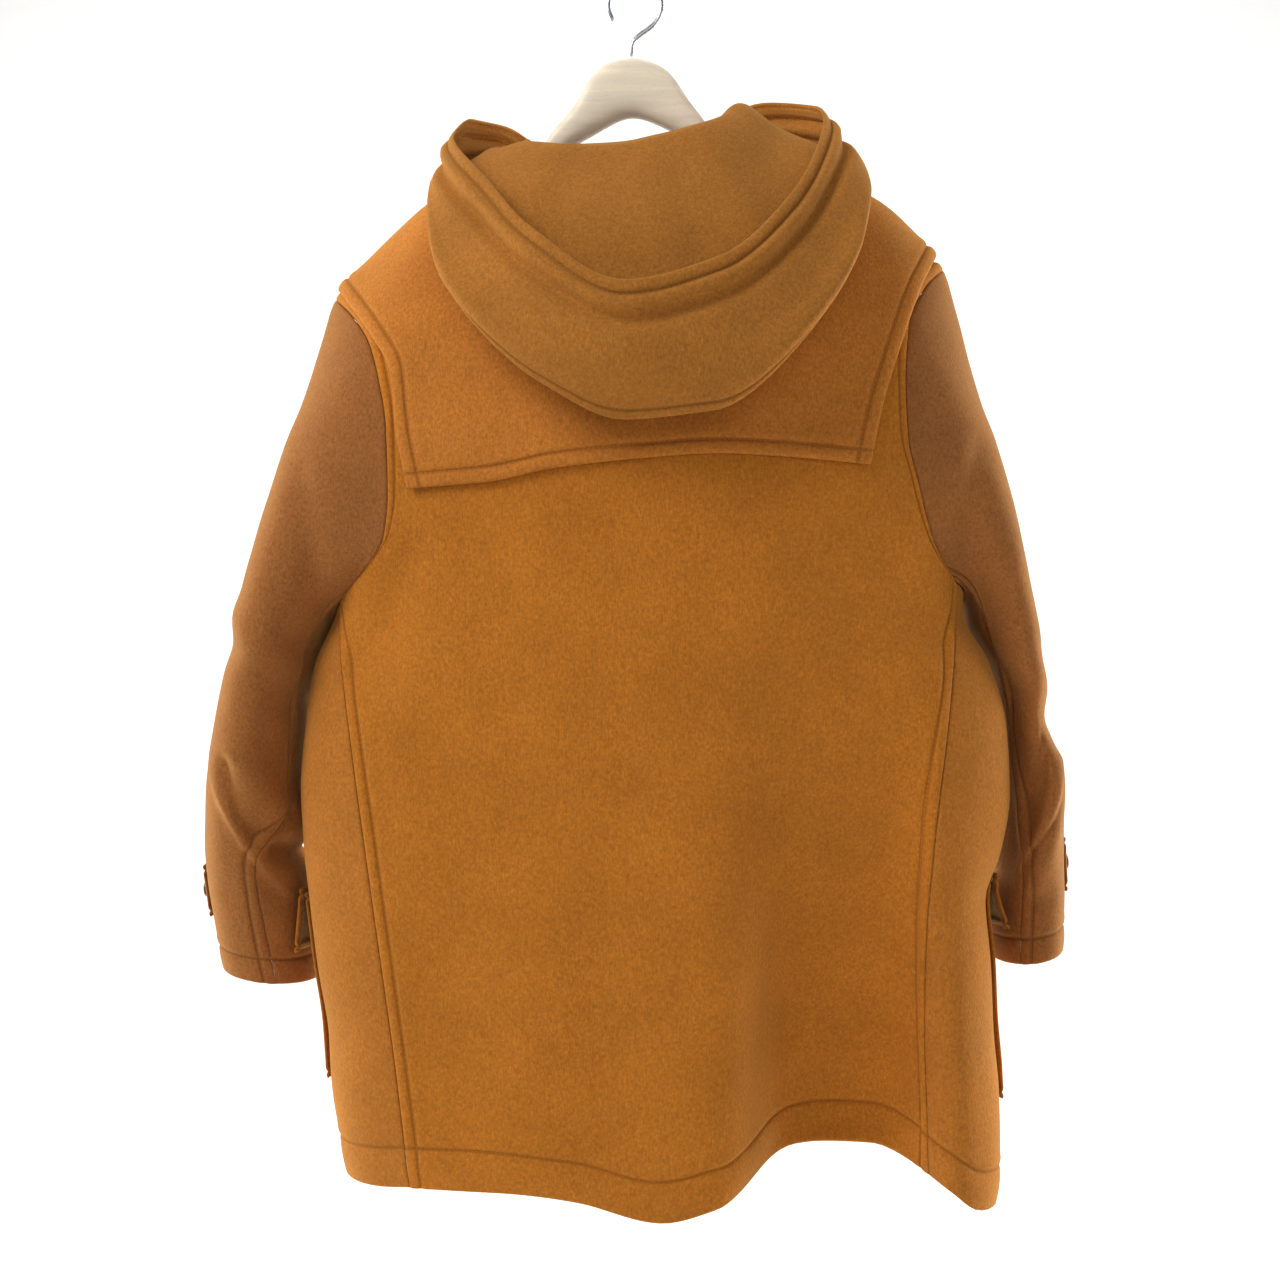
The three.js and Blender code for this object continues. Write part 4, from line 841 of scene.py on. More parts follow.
def cloth(name, at, grid_u, grid_v, rows_of_sewing, settings, lift=None, thickness=None,
          fold_key=None, flip=False, split=None, material="wool_back", inside=None, extra=None):
    """Piece of cloth from a grid that is moved onto its surface, sewn, folded and thickened.

    rows_of_sewing gives each edge's row: low_u, high_u, low_v, high_v. split, where set, is the
    column and row beyond which the grid's first columns are cut away for the armhole.
    """
    rows, columns = grid_u.shape
    bm = bmesh.new()
    bmesh.ops.create_grid(bm, x_segments=columns - 1, y_segments=rows - 1, size=0.5)
    bm.verts.ensure_lookup_table()
    lattice = sorted(bm.verts, key=lambda vert: (round(vert.co.y, 6), vert.co.x))
    lattice = [lattice[j * columns:(j + 1) * columns] for j in range(rows)]
    for j in range(rows):
        lattice[j].sort(key=lambda vert: vert.co.x)
        for i in range(columns):
            lattice[j][i].co = at(grid_u[j][i], grid_v[j][i])
    places = np.array([[vert.co[:] for vert in row] for row in lattice])
    edges = edge_distances(places, split)
    if split:
        corner = cut_away(lattice, split)
        gone = [face for face in bm.faces if corner.issuperset(face.verts)]
        bmesh.ops.delete(bm, geom=gone, context="FACES")
    if flip:
        bmesh.ops.reverse_faces(bm, faces=bm.faces[:])
    bm.normal_update()
    moves = []
    for j in range(rows):
        for i in range(columns):
            vert = lattice[j][i]
            if not vert.is_valid:
                continue
            out = lift(grid_u[j][i], grid_v[j][i]) if lift else 0.0
            profiles = [sewn_profile(edges[edge][j][i], row) for edge, row in rows_of_sewing.items()]
            sewn = min(profiles) + max(0.0, *profiles)
            fade = smooth(min(edges[edge][j][i] for edge in rows_of_sewing) / EDGE_FADE)
            soft = fold_lift(fold_key, vert.co) + unevenness(vert.co) * settings.softness
            if extra:
                soft += extra({edge: edges[edge][j][i] for edge in edges}, vert.co)
            moves.append((vert, vert.normal.copy() * (out + sewn + fade * soft)))
    for vert, move in moves:
        vert.co += move
    sewing_maps(bm, lattice, edges, rows_of_sewing)
    bmesh.ops.scale(bm, vec=(MM, MM, MM), verts=bm.verts[:])
    loose = [vert for vert in bm.verts if not vert.link_faces]
    bmesh.ops.delete(bm, geom=loose, context="VERTS")
    return finish_piece(name, bm, material, thickness or millimetres("cloth_thickness"), inside)


def cut_away(lattice, split):
    """Vertices of the corner of a grid that is cut away for the armhole."""
    column, row = split
    return {vert for line in lattice[row:] for vert in line[:column + 1]}


def edge_distances(places, split):
    """Distance of every grid crossing from each edge, along the cloth, in millimetres."""
    across = np.zeros(places.shape[:2])
    across[:, 1:] = np.cumsum(np.linalg.norm(np.diff(places, axis=1), axis=2), axis=1)
    along = np.zeros(places.shape[:2])
    along[1:, :] = np.cumsum(np.linalg.norm(np.diff(places, axis=0), axis=2), axis=0)
    edges = {
        "low_u": across.copy(),
        "high_u": across[:, -1:] - across,
        "low_v": along.copy(),
        "high_v": along[-1:, :] - along,
    }
    if split:
        column, row = split
        above = row + 1
        edges["low_u"][above:, :] = across[above:, :] - across[above:, column:column + 1]
        edges["high_v"][:, :column] = along[row:above, :column] - along[:, :column]
    return {name: np.maximum(values, 0) for name, values in edges.items()}


def sewing_maps(bm, lattice, edges, rows_of_sewing):
    """UV maps whose first value is the distance from a row of sewing, and second runs along it."""
    bm.verts.index_update()
    far = 1000.0
    values = {}
    for j, row in enumerate(lattice):
        for i, vert in enumerate(row):
            if not vert.is_valid:
                continue
            pair = []
            for low, high, run in (("low_u", "high_u", "low_v"), ("low_v", "high_v", "low_u")):
                side = low if edges[low][j][i] < edges[high][j][i] else high
                inset = rows_of_sewing.get(side)
                offset = edges[side][j][i] - inset if inset else far
                pair.append((offset * MM, edges[run][j][i] * MM))
            values[vert.index] = pair
    for number, name in enumerate(("sewing_across", "sewing_along")):
        layer = bm.loops.layers.uv.new(name)
        for face in bm.faces:
            for loop in face.loops:
                loop[layer].uv = values[loop.vert.index][number]


def finish_piece(name, bm, material, thickness=None, inside=None):
    """Object from a bmesh, with its material, smooth faces and, for cloth, its thickness.

    inside, where set, is the material of the cloth's reverse.
    """
    mesh = bpy.data.meshes.new(name)
    bm.to_mesh(mesh)
    bm.free()
    mesh.polygons.foreach_set("use_smooth", [True] * len(mesh.polygons))
    mesh.materials.append(bpy.data.materials[material])
    piece = bpy.data.objects.new(name, mesh)
    bpy.context.scene.collection.objects.link(piece)
    if thickness:
        solid = piece.modifiers.new("thickness", "SOLIDIFY")
        solid.thickness = thickness * MM
        solid.offset = -1
        solid.use_even_offset = False
        solid.use_quality_normals = True
        if inside:
            mesh.materials.append(bpy.data.materials[inside])
            solid.material_offset = 1
    return piece


def declare(piece, nodes):
    """Place of a piece in the frame and the nodes that it stands for."""
    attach(piece, "root")
    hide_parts(*nodes)


def smooth_copy(name, node, material, levels):
    """Finely rounded piece in the place of a plain CAD solid."""
    bm = bmesh.new()
    bm.from_mesh(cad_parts[node].data)
    bmesh.ops.remove_doubles(bm, verts=bm.verts[:], dist=1e-5)
    bmesh.ops.join_triangles(
        bm, faces=bm.faces[:], angle_face_threshold=0.7, angle_shape_threshold=0.9,
    )
    piece = finish_piece(name, bm, material)
    fine = piece.modifiers.new("rounding", "SUBSURF")
    fine.levels = fine.render_levels = levels
    declare(piece, [node])
    return piece


def srgb(value):
    """Linear colour from an sRGB hex number."""
    parts = [(value >> shift & 255) / 255 for shift in (16, 8, 0)]
    linear = [p / 12.92 if p <= 0.04045 else ((p + 0.055) / 1.055) ** 2.4 for p in parts]
    return (*linear, 1.0)


def tint(base, factor):
    """Lighter or darker shade of a colour."""
    return (*(min(1.0, c * factor) for c in base[:3]), 1.0)


def node(tree, kind, inputs=None, **settings):
    """Adds a node with its settings, and sets or links its inputs."""
    made = tree.nodes.new(kind)
    for key, value in settings.items():
        setattr(made, key, value)
    for key, value in (inputs or {}).items():
        if isinstance(value, bpy.types.NodeSocket):
            tree.links.new(value, made.inputs[key])
        else:
            made.inputs[key].default_value = value
    return made


def blank_material(name):
    """Empty material and its surface shader."""
    material = bpy.data.materials.new(name)
    material.use_nodes = True
    tree = material.node_tree
    tree.nodes.clear()
    shader = node(tree, "ShaderNodeBsdfPrincipled")
    node(tree, "ShaderNodeOutputMaterial", {"Surface": shader.outputs["BSDF"]})
    return tree, shader


def sewing_mask(tree, uv_map, pitch):
    """Groove and single stitches of the rows of sewing on one UV map. In the wool the groove mask places
    painted shade and a sunken bump.
    """
    uv = node(tree, "ShaderNodeUVMap", uv_map=uv_map)
    parts = node(tree, "ShaderNodeSeparateXYZ", {"Vector": uv.outputs["UV"]})
    off = node(tree, "ShaderNodeMath", {0: parts.outputs["X"]}, operation="ABSOLUTE")
    groove = node(tree, "ShaderNodeMapRange", {
        "Value": off.outputs[0], "From Min": 0.0, "From Max": 0.0019, "To Min": 1.0, "To Max": 0.0,
    }, interpolation_type="SMOOTHSTEP")
    thread = node(tree, "ShaderNodeMapRange", {
        "Value": off.outputs[0], "From Min": 0.0, "From Max": 0.0009, "To Min": 1.0, "To Max": 0.0,
    }, interpolation_type="SMOOTHSTEP")
    beat = node(tree, "ShaderNodeMath", {0: parts.outputs["Y"], 1: pitch * MM}, operation="PINGPONG")
    stitch = node(tree, "ShaderNodeMapRange", {
        "Value": beat.outputs[0], "From Min": 0.0, "From Max": pitch * MM * 0.4,
    }, interpolation_type="SMOOTHSTEP")
    single = node(
        tree, "ShaderNodeMath", {0: thread.outputs[0], 1: stitch.outputs[0]}, operation="MULTIPLY",
    )
    return groove.outputs[0], single.outputs[0]


def wool_melton(name, colour, settings):
    """Heavy wool melton, woven, fulled until the weave is hidden, and lightly brushed.

    It gives the eye a matt, dense surface with a short nap, cloudy shade where fibres lie
    either way, and a soft light along its edges.
    """
    tree, shader = blank_material(name)
    base = (*colour, 1.0)
    place = node(tree, "ShaderNodeTexCoord").outputs["Object"]

    # Clouds 60 mm across, where the nap lies either way
    clouds = node(tree, "ShaderNodeTexNoise", {
        "Vector": place, "Scale": 1 / 0.060, "Detail": 3.0, "Roughness": 0.55,
    })
    # Fibre tufts, about 1 mm on the cloth and drawn at 2.5 mm so that they show
    tufts = node(tree, "ShaderNodeTexNoise", {
        "Vector": place, "Scale": 1 / 0.0025, "Detail": 4.0, "Roughness": 0.7,
    })
    # Single hairs lie down the cloth, 0.4 mm wide and a few millimetres long
    run = node(tree, "ShaderNodeMapping", {"Vector": place, "Scale": (1 / 0.0009, 1 / 0.0009, 1 / 0.0042)})
    hairs = node(tree, "ShaderNodeTexNoise", {
        "Vector": run.outputs[0], "Scale": 1.0, "Detail": 2.0, "Roughness": 0.6,
    })
    dark = tint(base, settings.nap_dark)
    light = tint(base, settings.nap_light)
    shade = node(tree, "ShaderNodeMix", {
        "Factor": clouds.outputs["Fac"], "A": dark, "B": light,
    }, data_type="RGBA")
    fleck = node(tree, "ShaderNodeMapRange", {
        "Value": tufts.outputs["Fac"], "From Min": 0.3, "From Max": 0.72,
        "To Min": 0.72, "To Max": 1.22,
    })
    hair = node(tree, "ShaderNodeMapRange", {
        "Value": hairs.outputs["Fac"], "From Min": 0.3, "From Max": 0.7,
        "To Min": 0.86, "To Max": 1.12,
    })
    grain = node(
        tree, "ShaderNodeMath", {0: fleck.outputs[0], 1: hair.outputs[0]}, operation="MULTIPLY",
    )
    napped = node(tree, "ShaderNodeVectorMath", {
        0: shade.outputs["Result"], "Scale": grain.outputs[0],
    }, operation="SCALE")

    across = sewing_mask(tree, "sewing_across", settings.stitch_pitch)
    along = sewing_mask(tree, "sewing_along", settings.stitch_pitch)
    groove = node(tree, "ShaderNodeMath", {0: across[0], 1: along[0]}, operation="MAXIMUM")
    stitch = node(tree, "ShaderNodeMath", {0: across[1], 1: along[1]}, operation="MAXIMUM")
    # Painted shade: the groove of each row of sewing is darkened towards 0.45 of the wool's colour; the
    # bump below also sinks it.
    deep = tint(base, 0.45)
    thread = tint(base, 0.95)
    weight = node(tree, "ShaderNodeMath", {0: groove.outputs[0], 1: 0.75}, operation="MULTIPLY")
    groove_shaded_colour = node(tree, "ShaderNodeMix", {
        "Factor": weight.outputs[0], "A": napped.outputs[0], "B": deep,
    }, data_type="RGBA")
    sewn = node(tree, "ShaderNodeMix", {
        "Factor": stitch.outputs[0], "A": groove_shaded_colour.outputs["Result"], "B": thread,
    }, data_type="RGBA")
    tree.links.new(sewn.outputs["Result"], shader.inputs["Base Color"])

    # Relief of the nap under the stitches
    relief = node(tree, "ShaderNodeMath", {
        0: tufts.outputs["Fac"], 1: 0.5, 2: hairs.outputs["Fac"],
    }, operation="MULTIPLY_ADD")
    sunk = node(tree, "ShaderNodeMath", {
        0: groove.outputs[0], 1: -0.9, 2: relief.outputs[0],
    }, operation="MULTIPLY_ADD")
    raised = node(tree, "ShaderNodeMath", {
        0: stitch.outputs[0], 1: 0.7, 2: sunk.outputs[0],
    }, operation="MULTIPLY_ADD")
    bump = node(tree, "ShaderNodeBump", {
        "Height": raised.outputs[0], "Strength": 0.6, "Distance": 0.0007,
    })
    tree.links.new(bump.outputs[0], shader.inputs["Normal"])
    shader.inputs["Roughness"].default_value = 0.95
    shader.inputs["IOR"].default_value = 1.45
    shader.inputs["Specular IOR Level"].default_value = 0.15
    shader.inputs["Sheen Weight"].default_value = settings.sheen
    shader.inputs["Sheen Roughness"].default_value = 0.45
    shader.inputs["Sheen Tint"].default_value = srgb(0xF2C06A)


def lacquered_beech(name, colour):
    """Steamed beech, planed and sealed with thin lacquer: even and pale, with short dark flecks; its colour
    is lightened to near white as painted light.
    """
    tree, shader = blank_material(name)
    base = (*colour, 1.0)
    place = node(tree, "ShaderNodeTexCoord").outputs["Object"]
    # Growth rings about 4 mm apart run along the arms
    run = node(tree, "ShaderNodeMapping", {"Vector": place, "Scale": (1 / 0.090, 1 / 0.009, 1 / 0.009)})
    rings = node(tree, "ShaderNodeTexNoise", {
        "Vector": run.outputs[0], "Scale": 1.0, "Detail": 4.0, "Roughness": 0.6, "Distortion": 0.6,
    })
    # Flecks of the rays, 0.5 mm wide and 3 mm long
    short = node(tree, "ShaderNodeMapping", {"Vector": place, "Scale": (1 / 0.003, 1 / 0.0006, 1 / 0.0006)})
    flecks = node(tree, "ShaderNodeTexNoise", {"Vector": short.outputs[0], "Scale": 1.0, "Detail": 1.0})
    ramp = node(tree, "ShaderNodeValToRGB", {"Fac": rings.outputs["Fac"]})
    ramp.color_ramp.elements[0].position = 0.34
    ramp.color_ramp.elements[0].color = tint(base, 0.84)
    ramp.color_ramp.elements[1].position = 0.68
    ramp.color_ramp.elements[1].color = base
    spot = node(tree, "ShaderNodeMapRange", {
        "Value": flecks.outputs["Fac"], "From Min": 0.62, "From Max": 0.72,
        "To Min": 0.0, "To Max": 0.35,
    })
    mixed = node(tree, "ShaderNodeMix", {
        "Factor": spot.outputs[0], "A": ramp.outputs["Color"], "B": tint(base, 0.6),
    }, data_type="RGBA")
    tree.links.new(mixed.outputs["Result"], shader.inputs["Base Color"])
    bump = node(tree, "ShaderNodeBump", {
        "Height": rings.outputs["Fac"], "Strength": 0.15, "Distance": 0.0003,
    })
    tree.links.new(bump.outputs[0], shader.inputs["Normal"])
    shader.inputs["Roughness"].default_value = 0.38
    shader.inputs["IOR"].default_value = 1.5


def turned_wood(name, colour):
    """Dark stained toggle wood, turned and waxed: close grain along its length."""
    tree, shader = blank_material(name)
    base = (*colour, 1.0)
    place = node(tree, "ShaderNodeTexCoord").outputs["Object"]
    # Grain lines 1.2 mm apart, drawn out along X
    run = node(tree, "ShaderNodeMapping", {"Vector": place, "Scale": (1 / 0.030, 1 / 0.0012, 1 / 0.0012)})
    grain = node(tree, "ShaderNodeTexNoise", {
        "Vector": run.outputs[0], "Scale": 1.0, "Detail": 3.0, "Roughness": 0.6,
    })
    shade = node(tree, "ShaderNodeMix", {
        "Factor": grain.outputs["Fac"], "A": tint(base, 0.45),
        "B": tint(base, 1.35),
    }, data_type="RGBA")
    tree.links.new(shade.outputs["Result"], shader.inputs["Base Color"])
    bump = node(tree, "ShaderNodeBump", {
        "Height": grain.outputs["Fac"], "Strength": 0.2, "Distance": 0.0002,
    })
    tree.links.new(bump.outputs[0], shader.inputs["Normal"])
    shader.inputs["Roughness"].default_value = 0.42
    shader.inputs["IOR"].default_value = 1.5


def grained_leather(name, colour, settings):
    """Vegetable-tanned cowhide, dyed and waxed: small pebbles with dark creases between."""
    tree, shader = blank_material(name)
    base = (*colour, 1.0)
    place = node(tree, "ShaderNodeTexCoord").outputs["Object"]
    # Pebbles 1.1 mm across
    pebbles = node(tree, "ShaderNodeTexVoronoi", {
        "Vector": place, "Scale": 1 / 0.0011,
    }, feature="DISTANCE_TO_EDGE")
    clouds = node(tree, "ShaderNodeTexNoise", {"Vector": place, "Scale": 1 / 0.012, "Detail": 3.0})
    shade = node(tree, "ShaderNodeMix", {
        "Factor": clouds.outputs["Fac"], "A": tint(base, 0.6),
        "B": tint(base, 1.3),
    }, data_type="RGBA")
    across = sewing_mask(tree, "sewing_across", settings.stitch_pitch)
    along = sewing_mask(tree, "sewing_along", settings.stitch_pitch)
    stitch = node(tree, "ShaderNodeMath", {0: across[1], 1: along[1]}, operation="MAXIMUM")
    sewn = node(tree, "ShaderNodeMix", {
        "Factor": stitch.outputs[0], "A": shade.outputs["Result"], "B": srgb(0xA87B45),
    }, data_type="RGBA")
    tree.links.new(sewn.outputs["Result"], shader.inputs["Base Color"])
    crease = node(tree, "ShaderNodeMapRange", {
        "Value": pebbles.outputs["Distance"], "From Min": 0.0, "From Max": 0.16,
    })
    bump = node(tree, "ShaderNodeBump", {
        "Height": crease.outputs[0], "Strength": 0.35, "Distance": 0.0003,
    })
    tree.links.new(bump.outputs[0], shader.inputs["Normal"])
    shader.inputs["Roughness"].default_value = 0.5
    shader.inputs["IOR"].default_value = 1.5


def twisted_cord(name, colour):
    """Three-ply jute-coloured cord, laid hard: slanting strands with painted shade in the gaps between
    them, and some hairs.
    """
    tree, shader = blank_material(name)
    base = (*colour, 1.0)
    place = node(tree, "ShaderNodeTexCoord").outputs["Object"]
    turned = node(tree, "ShaderNodeMapping", {"Vector": place, "Rotation": (0.0, math.radians(38), 0.0)})
    # Strands 1.6 mm apart along the cord
    strands = node(tree, "ShaderNodeTexWave", {
        "Vector": turned.outputs[0], "Scale": 1 / 0.0016 / 20 * math.pi, "Distortion": 1.2, "Detail": 1.0,
    }, wave_type="BANDS", bands_direction="X")
    # The colour runs from 0.35 of the cord's colour in the gaps between strands, as painted shade, to 1.4
    # on their crowns, as painted highlight.
    shade = node(tree, "ShaderNodeMix", {
        "Factor": strands.outputs["Fac"], "A": tint(base, 0.35),
        "B": tint(base, 1.4),
    }, data_type="RGBA")
    tree.links.new(shade.outputs["Result"], shader.inputs["Base Color"])
    bump = node(tree, "ShaderNodeBump", {
        "Height": strands.outputs["Fac"], "Strength": 0.7, "Distance": 0.0006,
    })
    tree.links.new(bump.outputs[0], shader.inputs["Normal"])
    shader.inputs["Roughness"].default_value = 0.85


def polished_horn(name, colour):
    """Dark horn button, cut, drilled and polished: brown with paler streaks."""
    tree, shader = blank_material(name)
    base = (*colour, 1.0)
    place = node(tree, "ShaderNodeTexCoord").outputs["Object"]
    # Streaks 2 mm wide
    streaks = node(tree, "ShaderNodeTexNoise", {
        "Vector": place, "Scale": 1 / 0.004, "Detail": 3.0, "Distortion": 1.5,
    })
    shade = node(tree, "ShaderNodeMix", {
        "Factor": streaks.outputs["Fac"], "A": tint(base, 0.5),
        "B": tint(base, 2.4),
    }, data_type="RGBA")
    tree.links.new(shade.outputs["Result"], shader.inputs["Base Color"])
    shader.inputs["Roughness"].default_value = 0.25
    shader.inputs["IOR"].default_value = 1.54


def zinc_wire(name, colour):
    """Steel wire, drawn and zinc-plated: bright, with faint lines along the drawing."""
    tree, shader = blank_material(name)
    place = node(tree, "ShaderNodeTexCoord").outputs["Object"]
    # Cloudy plating, patches 3 mm across
    plating = node(tree, "ShaderNodeTexNoise", {"Vector": place, "Scale": 1 / 0.003, "Detail": 2.0})
    rough = node(tree, "ShaderNodeMapRange", {
        "Value": plating.outputs["Fac"], "To Min": 0.18, "To Max": 0.36,
    })
    tree.links.new(rough.outputs[0], shader.inputs["Roughness"])
    shader.inputs["Base Color"].default_value = (*colour, 1.0)
    shader.inputs["Metallic"].default_value = 1.0


def studio_paper(name, colour):
    """Matt seamless paper of a studio floor."""
    tree, shader = blank_material(name)
    place = node(tree, "ShaderNodeTexCoord").outputs["Object"]
    # Paper tone drifts over a metre
    drift = node(tree, "ShaderNodeTexNoise", {"Vector": place, "Scale": 1.0, "Detail": 1.0})
    base = (*colour, 1.0)
    shade = node(tree, "ShaderNodeMix", {
        "Factor": drift.outputs["Fac"], "A": tint(base, 0.98), "B": base,
    }, data_type="RGBA")
    tree.links.new(shade.outputs["Result"], shader.inputs["Base Color"])
    shader.inputs["Roughness"].default_value = 0.9


def length_property(name, description, value):
    """Length property whose default is in millimetres."""
    return bpy.props.FloatProperty(
        name=name, description=description, default=value * MM, min=0.0, unit="LENGTH",
        subtype="DISTANCE",
    )


class COAT_PG_cloth(bpy.types.PropertyGroup):
    """How the cloth is finished and sewn."""

    cloth_thickness: length_property("Cloth", "Thickness of the wool", 3.0)
    yoke_thickness: length_property("Yoke cloth", "Thickness of the yoke's wool", 3.4)
    topstitch: length_property("Topstitch", "From an edge to its row of sewing", 11.0)
    seam_stitch: length_property("Seam stitch", "From a felled seam to its row of sewing", 10.0)
    hem_stitch: length_property("Hem stitch", "From the hem to its row of sewing", 31.0)
    cuff_stitch: length_property("Cuff stitch", "From the cuff's edge to its row of sewing", 22.0)
    tab_stitch: length_property("Tab stitch", "From the edge of small pieces to their sewing", 5.0)
    softness: bpy.props.FloatProperty(
        name="Softness", description="How wavy the thick cloth hangs", default=1.0, min=0.0, max=2.0,
    )
    sheen: bpy.props.FloatProperty(
        name="Sheen", description="Light caught by the nap at a glance", default=0.35, min=0.0,
        max=1.0, subtype="FACTOR",
    )
    nap_dark: bpy.props.FloatProperty(
        name="Dark nap", description="Shade where the nap lies away", default=0.8, min=0.3, max=1.0,
    )
    nap_light: bpy.props.FloatProperty(
        name="Light nap", description="Shade where the nap lies towards", default=1.2, min=1.0, max=1.6,
    )
    stitch_pitch: bpy.props.FloatProperty(
        name="Stitch length", description="Half the length of one stitch and its gap, in millimetres",
        default=1.9, min=1.0, max=5.0,
    )


def shade_property(name, description, value):
    """Colour property with an sRGB hex default."""
    return bpy.props.FloatVectorProperty(
        name=name, description=description, default=srgb(value)[:3], min=0.0, max=1.0, size=3,
        subtype="COLOR",
    )


class COAT_PG_colours(bpy.types.PropertyGroup):
    """Colours of the coat and its hanger."""

    # Back, fronts, yoke, sleeves and hood are one wool with a tone per piece; the sleeves and the hood are
    # set darker than the back as painted shade.
    back: shade_property("Back", "Wool of the back panel", 0xB97024)
    front: shade_property("Fronts", "Wool of the fronts and pockets", 0xB26D28)
    yoke: shade_property("Yoke", "Wool of the shoulder yoke", 0xBC732D)
    # Painted shade: the sleeves' wool is darker than the back's.
    sleeve: shade_property("Sleeves", "Wool of the sleeves", 0x9A6031)
    # Painted shade: the hood's wool is darker than the back's.
    hood: shade_property("Hood", "Wool of the hood", 0xA86B2B)
    flap: shade_property("Flaps", "Reverse of the wool, on flaps and tabs", 0x9A7A50)
    leather: shade_property("Patches", "Leather of the toggle patches", 0x5B3A1E)
    cord: shade_property("Cord", "Cord of the loops", 0x6B4A26)
    toggle: shade_property("Toggles", "Wood of the toggles", 0x7A5230)
    button: shade_property("Buttons", "Horn of the cuff buttons", 0x4A3220)
    # Beech colour lightened to near white: pale wood plus painted light.
    beech: shade_property("Hanger", "Wood of the hanger", 0xFBEBD0)
    wire: shade_property("Hook", "Wire of the hook", 0xB9BCC0)
    paper: shade_property("Paper", "Studio floor and background", 0xF7F6F4)


class COAT_PG_stage(bpy.types.PropertyGroup):
    """Camera, floor and light."""

    distance: bpy.props.FloatProperty(
        name="Camera distance", description="From the hanger's plane back to the camera",
        default=1.3, unit="LENGTH",
    )
    height: bpy.props.FloatProperty(
        name="Camera height", description="Height of the camera below the hook", default=-0.54,
        unit="LENGTH",
    )
    lens: bpy.props.FloatProperty(
        name="Lens", description="Focal length on a 36 mm frame, in millimetres", default=44.6,
    )
    key: bpy.props.FloatProperty(
        name="Key light", description="Power of the large soft light", default=38.0, unit="POWER",
    )
    sky: bpy.props.FloatProperty(
        name="Studio light", description="Strength of the even light all round", default=0.22,
    )
    floor_drop: bpy.props.FloatProperty(
        name="Floor", description="How far the floor lies below the hem", default=0.7,
        unit="LENGTH",
    )


def cloth_settings():
    return bpy.context.scene.coat_cloth


def colours():
    return bpy.context.scene.coat_colours


def sewing(*names):
    """Row of sewing beside each edge of a piece, in millimetres, and 0 where there is none."""
    return {edge: millimetres(name) if name else 0 for edge, name in zip(EDGES, names)}


class COAT_OT_materials(bpy.types.Operator):
    """Make the wool, wood, leather, horn and wire"""

    bl_idname = "coat.materials"
    bl_label = "Materials"

    def execute(self, context):
        shades, settings = colours(), cloth_settings()
        # One melton per piece; the darker sleeve and hood tones are painted shade.
        for part in ("back", "front", "yoke", "sleeve", "hood", "flap"):
            wool_melton(f"wool_{part}", getattr(shades, part), settings)
        lacquered_beech("beech_hanger", shades.beech)
        turned_wood("wood_toggle", shades.toggle)
        grained_leather("leather_patch", shades.leather, settings)
        twisted_cord("cord_loop", shades.cord)
        polished_horn("horn_button", shades.button)
        zinc_wire("wire_hook", shades.wire)
        studio_paper("paper_floor", shades.paper)
        return {"FINISHED"}


class COAT_OT_back(bpy.types.Operator):
    """Sew the back panel with its waves at the hem"""

    bl_idname = "coat.back"
    bl_label = "Back"

    def execute(self, context):
        piece = panel(
            "back_panel", back_surface, ((SEWN, SEWN), (HEM, BARE)), (62, 104),
            sewing("seam_stitch", "seam_stitch", "hem_stitch", None),
            cloth_settings(), fold_key="back", material="wool_back",
        )
        declare(piece, ["back"])
        return {"FINISHED"}


def front_shares(count_low, count_high, split, total_low, total_high, low, high):
    """Shares of a front's lines in its two stretches, and the number of the line at the split."""
    first = [split * place / total_low for place in line_places(total_low, low, BARE, count_low)]
    second = [
        split + (1 - split) * place / total_high
        for place in line_places(total_high, BARE, high, count_high)
    ]
    return [*first, *second[1:]], len(first) - 1


class COAT_OT_fronts(bpy.types.Operator):
    """Sew the two fronts, which meet the back at the felled seams and overlap in front"""

    bl_idname = "coat.fronts"
    bl_label = "Fronts"

    def execute(self, context):
        for side in SIDES:
            us, column = front_shares(14, 34, SIDE_SPLIT, 120, 280, SEWN, SEWN)
            vs, row = front_shares(52, 36, FRONT_SPLIT, 480, 330, HEM, BARE)
            grid_u, grid_v = np.meshgrid(us, vs)
            piece = cloth(
                f"front_{side}_panel", front_surface(side), grid_u, grid_v,
                sewing(None, "topstitch", "hem_stitch", None),
                cloth_settings(), fold_key=f"front_{side}", flip=side == "left",
                split=(column, row), material="wool_front",
            )
            declare(
                piece, [f"front_{side}"],
            )
        return {"FINISHED"}


class COAT_OT_yoke(bpy.types.Operator):
    """Lay the thick yoke over the shoulders"""

    bl_idname = "coat.yoke"
    bl_label = "Yoke"

    def execute(self, context):
        def lift(u, v):
            return YOKE_GAP + millimetres("yoke_thickness")

        piece = panel(
            "yoke_back_panel", yoke_back_surface, ((SEWN, SEWN), (SEWN, BARE)), (56, 44),
            sewing("topstitch", "topstitch", "topstitch", None),
            cloth_settings(), lift=lift, thickness=millimetres("yoke_thickness"),
            material="wool_yoke",
        )
        declare(piece, ["yoke_back"])
        for side in SIDES:
            piece = panel(
                f"yoke_front_{side}_panel", yoke_front_surface(side),
                ((SEWN, BARE), (SEWN, BARE)), (14, 22),
                sewing("topstitch", None, "topstitch", None),
                cloth_settings(), lift=lift, thickness=millimetres("yoke_thickness"),
                flip=side == "left", material="wool_yoke",
            )
            declare(
                piece, [f"yoke_front_{side}"],
            )
        return {"FINISHED"}


